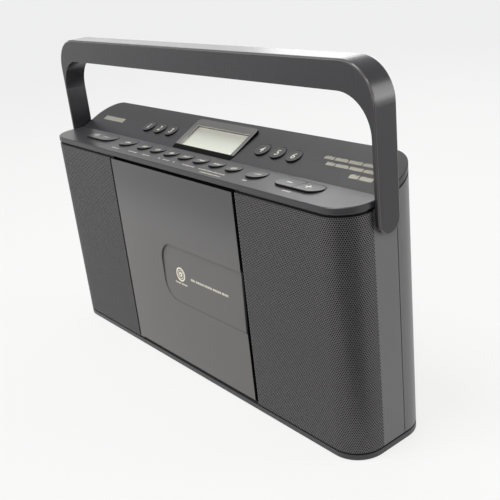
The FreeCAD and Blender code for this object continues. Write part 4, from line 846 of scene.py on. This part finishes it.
def closed_sheet(mesh, pitch, row, columns, rows):
    """Adds the blank half tiles at the row ends, the edges and the back, still flat."""
    bm = bmesh.new()
    bm.from_mesh(mesh)
    tall = rows * row
    sheet = mesh.materials.find(FINISHES["grille_metal"].name)

    def face(points):
        bm.faces.new([bm.verts.new(point) for point in points]).material_index = sheet

    for j in range(rows):
        left = 0.0 if j % 2 else columns * pitch
        low, high = j * row, (j + 1) * row
        face([(left, 0, low), (left + pitch / 2, 0, low), (left + pitch / 2, 0, high), (left, 0, high)])
    steps = [k * pitch / 2 for k in range(2 * columns + 2)]
    levels = [j * row for j in range(rows + 1)]
    for a, b in zip(steps, steps[1:]):
        for z in (0.0, tall):
            face([(a, 0, z), (b, 0, z), (b, SHEET_T, z), (a, SHEET_T, z)])
        ends = [(b, SHEET_T, z) for z in (levels if b == steps[-1] else (0.0, tall))]
        ends += [(a, SHEET_T, z) for z in (reversed(levels) if a == 0.0 else (tall, 0.0))]
        face(ends)
    for low, high in zip(levels, levels[1:]):
        for s in (0.0, steps[-1]):
            face([(s, 0, low), (s, 0, high), (s, SHEET_T, high), (s, SHEET_T, low)])
    bmesh.ops.remove_doubles(bm, verts=bm.verts, dist=TILE_GAP)
    bmesh.ops.recalc_face_normals(bm, faces=bm.faces)
    bm.to_mesh(mesh)
    bm.free()


def bend_round_corner(mesh, straight):
    """Wraps the flat sheet, along its own length, round the case's upright corner."""
    flat = np.empty(len(mesh.vertices) * 3, np.float32)
    mesh.vertices.foreach_get("co", flat)
    along, deep, up = flat.reshape(-1, 3).T
    over = np.clip(along - straight, 0.0, CORNER_R * math.pi / 2)
    angle = over / CORNER_R
    past = np.maximum(along - straight - CORNER_R * math.pi / 2, 0.0)
    x = np.minimum(along, straight) + (CORNER_R - deep) * np.sin(angle)
    y = CORNER_R - (CORNER_R - deep) * np.cos(angle) + past
    mesh.vertices.foreach_set("co", np.stack([x, y, up], 1).ravel())


def grille(node, tree):
    """One perforated sheet, made flat and wrapped round its corner."""
    low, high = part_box(node)
    side = 1.0 if high.x > 0 else -1.0
    inner, outer = (low.x, high.x) if side > 0 else (-high.x, -low.x)
    straight = outer - CORNER_R - inner
    length = straight + CORNER_R * math.pi / 2 + (high.y - low.y - CORNER_R)
    tall = high.z - low.z - SHEET_DROP
    columns = round(length / HOLE_PITCH - 0.5)
    rows = round(tall / (HOLE_PITCH * math.sqrt(0.75)))
    pitch, row = length / (columns + 0.5), tall / rows
    tile = hole_tile(pitch, row)
    mesh = grown_by(
        tree,
        {
            "Tile": tile,
            "Pitch": pitch,
            "Row Height": row,
            "Columns": columns,
            "Rows": rows,
            "Sheet Finish": FINISHES["grille_metal"],
            "Hole Finish": HOLE_SHADE,
        },
    )
    bpy.data.objects.remove(tile)
    closed_sheet(mesh, pitch, row, columns, rows)
    bend_round_corner(mesh, straight)
    mesh.transform(Matrix.Translation((inner, low.y, low.z)))
    if side < 0:
        mesh.transform(Matrix.Scale(-1.0, 4, (1.0, 0.0, 0.0)))
        mesh.flip_normals()
    shade(mesh)
    place_piece(mesh, f"{node}_perforated", bodies_of[node], [node])


# ---------------------------------------------------------------- printed marks

INK_T = 0.03 * MM
PRINT_SINK = 0.06 * MM
PRINT_GAP = 0.01
DASH_H = 1.15
DIGIT_SIZE = 7.8
LETTER_WEIGHT = 0.055


def bar(x0, y0, x1, y1):
    return [(x0, y0), (x1, y0), (x1, y1), (x0, y1)]


def ring(x, y, outer, inner, start=0, end=360, steps=28):
    """A ring, or part of one, as four-sided pieces."""
    turns = [math.radians(start + (end - start) * i / steps) for i in range(steps + 1)]
    return [
        [
            (x + r * math.cos(t), y + r * math.sin(t))
            for r, t in ((inner, a), (outer, a), (outer, b), (inner, b))
        ]
        for a, b in zip(turns, turns[1:])
    ]


def triangle(x, y, size, way=1):
    return [(x - way * size, y - size), (x + way * size, y), (x - way * size, y + size)]


def dashes(x0, x1, y, height=DASH_H, seed=0):
    """A line of plain short blocks, of uneven lengths, from x0 to x1."""
    blocks, x, turn = [], x0, seed
    while x < x1 - 0.2:
        length = height * (0.38, 0.55, 0.30, 0.46)[turn % 4]
        blocks.append(bar(x, y - height / 2, min(x + length, x1), y + height / 2))
        x += length + height * (0.8 if turn % 7 == 6 else 0.36)
        turn += 1
    return blocks


def strokes(x0, x1, y, height, seed=0):
    """A line of plain upright strokes of uneven height that spells nothing."""
    shapes, x, turn = [], x0, seed
    while x < x1 - height * 0.3:
        head = y + height * (0.5, 0.5, 0.28, 0.5, 0.36)[turn % 5]
        shapes.append(bar(x, y - height / 2, x + height * 0.22, head))
        x += height * (0.75 if turn % 9 == 8 else 0.42)
        turn += 1
    return shapes


def character(text, size):
    """The faces of one plain character, about its own middle, in millimetres."""
    curve = bpy.data.curves.new("character", "FONT")
    curve.body = text
    curve.size = size
    curve.resolution_u = 4
    curve.offset = LETTER_WEIGHT
    holder = bpy.data.objects.new("character", curve)
    bpy.context.scene.collection.objects.link(holder)
    mesh = plain_mesh(holder)
    bpy.data.objects.remove(holder)
    spots = np.array([v.co[:2] for v in mesh.vertices])
    spots -= (spots.min(0) + spots.max(0)) / 2
    shapes = [[tuple(spots[v]) for v in polygon.vertices] for polygon in mesh.polygons]
    bpy.data.meshes.remove(mesh)
    return shapes


def caster(node):
    """A search tree of a node's shown surface, for laying print on it."""
    if node not in CAST:
        mesh = SHOWN.get(node) or frame["nodes"][node].data
        faces = [face.vertices[:] for face in mesh.polygons]
        CAST[node] = BVHTree.FromPolygons([vert.co for vert in mesh.vertices], faces)
    return CAST[node]


def lay_print(name, shapes, node, origin, across, upward, finish=None):
    """Presses flat shapes onto a node's surface as thin closed ink, in one piece."""
    across, upward, origin = Vector(across), Vector(upward), Vector(origin)
    out = across.cross(upward).normalized()
    bm = bmesh.new()
    for shape in shapes:
        bm.faces.new([bm.verts.new((x, y, 0.0)) for x, y in shape])
    bmesh.ops.remove_doubles(bm, verts=bm.verts, dist=PRINT_GAP)
    bmesh.ops.recalc_face_normals(bm, faces=bm.faces)
    for vert in bm.verts:
        spot = origin + across * (vert.co.x * MM) + upward * (vert.co.y * MM)
        hit = caster(node).ray_cast(spot + out * 0.02, -out)[0]
        vert.co = (hit or spot) + out * INK_T
    grown = bmesh.ops.extrude_face_region(bm, geom=bm.faces[:])
    for vert in (item for item in grown["geom"] if isinstance(item, bmesh.types.BMVert)):
        vert.co -= out * (INK_T + PRINT_SINK)
    bmesh.ops.recalc_face_normals(bm, faces=bm.faces)
    mesh = mesh_from(bm, name)
    mesh.materials.append(finish or CREAM_INK)
    place_piece(mesh, name, bodies_of[node])


# ---------------------------------------------------------------- display

DECK_Z = 0.1644
SLOPE = math.radians(25.0)
CREASE_Y = -1.5 * MM
ON_SLOPE = Matrix.Translation((0.0, CREASE_Y, DECK_Z)) @ Matrix.Rotation(SLOPE, 4, "X")
SLOPE_OUT = Vector((0.0, -math.sin(SLOPE), math.cos(SLOPE)))

# On the slope, x runs across, v up the slope from its crease, and w off it.
PLATE_HALF = 34.9 * MM
PLATE_FOOT = 0.3 * MM
PLATE_HEAD = 32.3 * MM
PLATE_BEVEL = 4.5 * MM
PLATE_T = 0.6 * MM
PLATE_SINK = 0.3 * MM
PLATE_R = (1.5 * MM, 4.0 * MM)
PLATE_LEAN = 0.040
FOOT_RISE = 0.15
WINDOW = (-29.6 * MM, 31.0 * MM, 4.6 * MM, 25.7 * MM)
WINDOW_TOP = 3.0 * MM
TRAY_WALL = 0.8 * MM
TRAY_HEAD = -0.31 * MM
TRAY_FLOOR = -1.6 * MM
TRAY_T = 0.35 * MM
PANEL_GAP = 0.1 * MM
PANEL_T = 0.25 * MM
PANE_LOW = 0.35 * MM
PANE_HIGH = 0.03 * MM
# The black strip of painted groove shade round the plate: its width and thickness.
GROOVE_SHADE_W = 0.3 * MM
GROOVE_SHADE_T = 0.04 * MM


def leaned(v):
    """How much more the plate stands off the slope at v, towards its head."""
    return PLATE_LEAN * max(0.0, v - PLATE_BEVEL)


def slab(x0, x1, v0, v1, w0, w1):
    """A block that leans as the plate does."""
    bm = bmesh.new()
    bmesh.ops.create_cube(bm, size=1.0)
    bm.transform(Matrix.Diagonal((x1 - x0, v1 - v0, w1 - w0, 1.0)))
    bm.transform(Matrix.Translation(((x0 + x1) / 2, (v0 + v1) / 2, (w0 + w1) / 2)))
    for vert in bm.verts:
        vert.co.z += leaned(vert.co.y)
    bm.transform(ON_SLOPE)
    return mesh_from(bm, "slab")


def carved(mesh, cutter):
    """The mesh less the cutter's shape."""
    body = bpy.data.objects.new("carved", mesh)
    tool = bpy.data.objects.new("cutter", cutter)
    for thing in (body, tool):
        bpy.context.scene.collection.objects.link(thing)
    cut = body.modifiers.new("cut", "BOOLEAN")
    cut.operation = "DIFFERENCE"
    cut.solver = "EXACT"
    cut.object = tool
    result = plain_mesh(body)
    bpy.data.objects.remove(body)
    bpy.data.objects.remove(tool)
    return result


def arc(x, y, radius, start, steps=6):
    """The points of a quarter turn."""
    turns = [math.radians(start + 90.0 * i / steps) for i in range(steps + 1)]
    return [(x + radius * math.cos(t), y + radius * math.sin(t)) for t in turns]


def window_plate():
    """The plate's outer shape: round corners, a leaning top and a long bevel along its foot."""
    foot_r, head_r = PLATE_R
    foot = arc(-PLATE_HALF + foot_r, PLATE_FOOT + foot_r, foot_r, 180.0)
    foot += arc(PLATE_HALF - foot_r, PLATE_FOOT + foot_r, foot_r, 270.0)
    head = arc(PLATE_HALF - head_r, PLATE_HEAD - head_r, head_r, 0.0)
    head += arc(-PLATE_HALF + head_r, PLATE_HEAD - head_r, head_r, 90.0)
    plan = foot + [(PLATE_HALF, PLATE_BEVEL)] + head + [(-PLATE_HALF, PLATE_BEVEL)]
    bm = bmesh.new()
    top = []
    for x, v in plan:
        up_bevel = (v - PLATE_FOOT) / (PLATE_BEVEL - PLATE_FOOT)
        rise = min(1.0, FOOT_RISE + (1.0 - FOOT_RISE) * up_bevel)
        top.append(bm.verts.new((x, v, PLATE_T * rise + leaned(v))))
    base = [bm.verts.new((x, v, -PLATE_SINK)) for x, v in plan]
    count, turn = len(plan), len(foot)
    bm.faces.new(base[::-1])
    for i in range(count):
        j = (i + 1) % count
        bm.faces.new((base[i], base[j], top[j], top[i]))
    bm.faces.new([top[-1]] + top[: turn + 1])
    bm.faces.new(top[turn:])
    bm.transform(ON_SLOPE)
    bmesh.ops.recalc_face_normals(bm, faces=bm.faces)
    return mesh_from(bm, "window_plate")


def window_joint():
    """A thin black strip along the plate's sides and head: painted shade of the groove round the plate."""
    half, head, radius = PLATE_HALF + GROOVE_SHADE_W, PLATE_HEAD + GROOVE_SHADE_W, PLATE_R[1] + GROOVE_SHADE_W
    plan = arc(half - radius, head - radius, radius, 0.0)
    plan += arc(-half + radius, head - radius, radius, 90.0)
    plan += [(-half, PLATE_BEVEL), (half, PLATE_BEVEL)]
    bm = bmesh.new()
    face = bm.faces.new([bm.verts.new((x, v, -PLATE_SINK)) for x, v in plan])
    grown = bmesh.ops.extrude_face_region(bm, geom=[face])
    for vert in (item for item in grown["geom"] if isinstance(item, bmesh.types.BMVert)):
        vert.co.z = GROOVE_SHADE_T
    bm.transform(ON_SLOPE)
    bmesh.ops.recalc_face_normals(bm, faces=bm.faces)
    return mesh_from(bm, "window_joint")


def widened(window, by):
    x0, x1, v0, v1 = window
    return x0 - by, x1 + by, v0 - by, v1 + by


def painted(mesh, *finishes):
    """The mesh with these finishes only."""
    mesh.materials.clear()
    for finish in finishes:
        mesh.materials.append(finish)
    return mesh


def paint_plate(plate):
    """Smoked top, pale walls inside the window, and black for the rest."""
    x0, x1, v0, v1 = widened(WINDOW, 0.02 * MM)
    for face in plate.polygons:
        x, v, w = ON_SLOPE.inverted() @ face.center
        if face.normal.dot(SLOPE_OUT) > 0.995:
            face.material_index = 0
        elif x0 < x < x1 and v0 < v < v1:
            face.material_index = 2
        else:
            face.material_index = 1


def display():
    """A window plate, black foot, painted groove shade; under it a pale tray, a panel and a clear pane."""
    plate = carved(window_plate(), slab(*WINDOW, -2 * MM, WINDOW_TOP))
    shade(plate)
    painted(plate, FINISHES["display_window"], WINDOW_BLACK, DISPLAY_TRAY)
    paint_plate(plate)
    place_piece(plate, "display_window_plate", "case", ["display_lens"])
    tray = slab(*widened(WINDOW, TRAY_WALL), TRAY_FLOOR - TRAY_T, TRAY_HEAD)
    tray = carved(tray, slab(*WINDOW, TRAY_FLOOR, WINDOW_TOP))
    place_piece(painted(tray, DISPLAY_TRAY), "display_tray", "case")
    panel = slab(*widened(WINDOW, -PANEL_GAP), TRAY_FLOOR - PANEL_GAP, TRAY_FLOOR + PANEL_T)
    panel = painted(panel, FINISHES["display_glass"])
    place_piece(panel, "display_panel_face", "case", ["lcd_panel"])
    pane = slab(*WINDOW, PLATE_T - PANE_LOW, PLATE_T - PANE_HIGH)
    place_piece(painted(pane, CLEAR_PANE), "display_pane", "case")
    # A black strip round the plate as painted shade of its groove.
    joint = carved(window_joint(), slab(*WINDOW, -4 * MM, WINDOW_TOP))
    place_piece(painted(joint, WINDOW_BLACK), "display_joint", "case")


# ---------------------------------------------------------------- marks on keys, cap and door

KEY_ROW_Y = -12.7 * MM
DIGIT_DOWN = 0.9 * MM
DIGIT_DEEP = 2.5 * MM
FLAT = ((1, 0, 0), (0, 1, 0))
TILTED = ((1, 0, 0), (0, math.cos(SLOPE), math.sin(SLOPE)))
UPRIGHT = ((1, 0, 0), (0, 0, 1))

# Each line of print, in millimetres: from x, to x, its height on the surface, and the size of its blocks.
DECK_LINES = [
    (-80.5, -71.0, -25.8, DASH_H),
    (-57.5, -46.5, -25.0, DASH_H),
    (-38.8, -29.0, -24.8, DASH_H),
    (-12.2, -4.5, -24.2, DASH_H),
    (11.9, 25.5, -24.3, DASH_H),
    (30.7, 59.0, -24.3, DASH_H),
    (37.2, 59.7, -28.3, DASH_H),
    (77.0, 80.5, -24.3, 1.6),
    (114.4, 121.0, -24.3, 1.6),
]
SLOPE_LINES = [
    (108.5, 154.0, 20.7, 2.8),
    (114.0, 156.0, 15.8, 2.8),
    (138.5, 157.0, 9.8, 3.4),
]
DISC_SIGN = [(5.4, 4.3), (3.4, 2.9), (1.9, 0.8)]


def key_signs():
    """A plain sign for each key."""
    power = ring(0, 0, 2.0, 1.3, 125, 415) + [bar(-0.35, 0.3, 0.35, 2.4)]
    power = [[(x - 9.5, y) for x, y in shape] for shape in power] + dashes(1.0, 9.0, 0.0)
    volume = [bar(-11.4, -0.6, -6.6, 0.6), bar(4.9, -0.6, 9.7, 0.6)]
    volume += [bar(6.7, 0.6, 7.9, 2.4), bar(6.7, -2.4, 7.9, -0.6)]
    back = [bar(-2.9, -1.5, -2.2, 1.5), triangle(-0.7, 0, 1.4, -1), triangle(2.0, 0, 1.4, -1)]
    signs = {
        "key_power": power,
        "key_volume": volume,
        "key_function": ring(-1.8, 0, 1.6, 0.8) + [triangle(1.8, 0, 1.4)],
        "key_band": [bar(-2.4, y - 0.32, 2.4, y + 0.32) for y in (-1.1, 0.0, 1.1)],
        "key_mode": ring(0, 0, 1.9, 1.1, 40, 330) + [triangle(1.9, -0.4, 0.9)],
        "key_stop": [bar(-1.6, -1.6, 1.6, 1.6)],
        "key_play": [triangle(-1.2, 0, 1.6), bar(0.9, -1.6, 1.6, 1.6), bar(2.2, -1.6, 2.9, 1.6)],
        "key_back": back,
        "key_forward": [[(-x, y) for x, y in reversed(shape)] for shape in back],
        "key_memory": ring(0, 0, 2.1, 1.4) + [bar(-0.8, -0.35, 0.8, 0.35)],
        "key_bass": [[(-2.8, -1.1), (2.6, -0.4), (2.6, 1.6)]],
    }
    for key, shapes in signs.items():
        low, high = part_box(key)
        spot = ((low.x + high.x) / 2, KEY_ROW_Y, high.z)
        lay_print(f"{key}_sign", shapes, key, spot, *FLAT)
    for number in range(1, 7):
        key = f"key_preset_{number}"
        low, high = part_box(key)
        spot = ((low.x + high.x) / 2, (low.y + high.y) / 2 - DIGIT_DOWN, high.z - DIGIT_DEEP)
        lay_print(f"{key}_digit", character(str(number), DIGIT_SIZE), key, spot, *TILTED)


def cap_print():
    """Lines of plain blocks below the keys, plain strokes on the slope, and a bare plate."""
    shapes = []
    for turn, line in enumerate(DECK_LINES):
        shapes += dashes(*line, turn)
    shapes += [bar(-17.9, -24.8, -16.7, -23.6)] + ring(1.0, -24.2, 0.8, 0.3)
    lay_print("cap_deck_print", shapes, "top_cap", (0, 0, DECK_Z), *FLAT)
    shapes = []
    for turn, line in enumerate(SLOPE_LINES):
        shapes += strokes(*line, turn + 2)
    lay_print("cap_slope_print", shapes, "top_cap", (0, CREASE_Y, DECK_Z), *TILTED)
    plate = [bar(-156.0, 13.6, -125.0, 18.2)]
    lay_print("cap_plate", plate, "top_cap", (0, CREASE_Y, DECK_Z), *TILTED, GOLD_PLATE)


def door_print():
    """A plain disc sign and one line of blocks in the finger recess."""
    disc = []
    for outer, inner in DISC_SIGN:
        disc += ring(0.5, 81.8, outer, inner)
    disc += dashes(-7.0, 8.5, 74.6, 1.3)
    lay_print("door_disc_sign", disc, "door", (0, FRONT_Y, 0), *UPRIGHT)
    lay_print("door_line", dashes(13.3, 56.6, 81.0, 1.7, 3), "door", (0, FRONT_Y, 0), *UPRIGHT)


# ---------------------------------------------------------------- the whole set

make_camera()
make_room()
make_table()
for lamp in LAMPS:
    make_lamp(*lamp)

for node, thing in frame["nodes"].items():
    for slot in thing.material_slots:
        slot.material = FINISHES[SLOT_OF[node]]

OUTSIDE = (
    "ac_inlet aerial_knuckle aerial_tube_1 aerial_tube_2 aerial_tube_3 base_plate battery_cover cd_deck "
    "deck_screws disc_hub door door_pins feet front_shell guide_rods "
    "handle headphone_jack pickup_lens pickup_sled rear_screws rear_shell top_cap"
).split()
OUTSIDE += [node for node in frame["nodes"] if node.startswith("key_") and bodies_of[node] != "case"]
for node in OUTSIDE:
    dress(node)
perforation = perforation_tree()
for node in ("grille_left", "grille_right"):
    grille(node, perforation)
display()
key_signs()
cap_print()
door_print()

bpy.context.scene.view_settings.view_transform = "Standard"
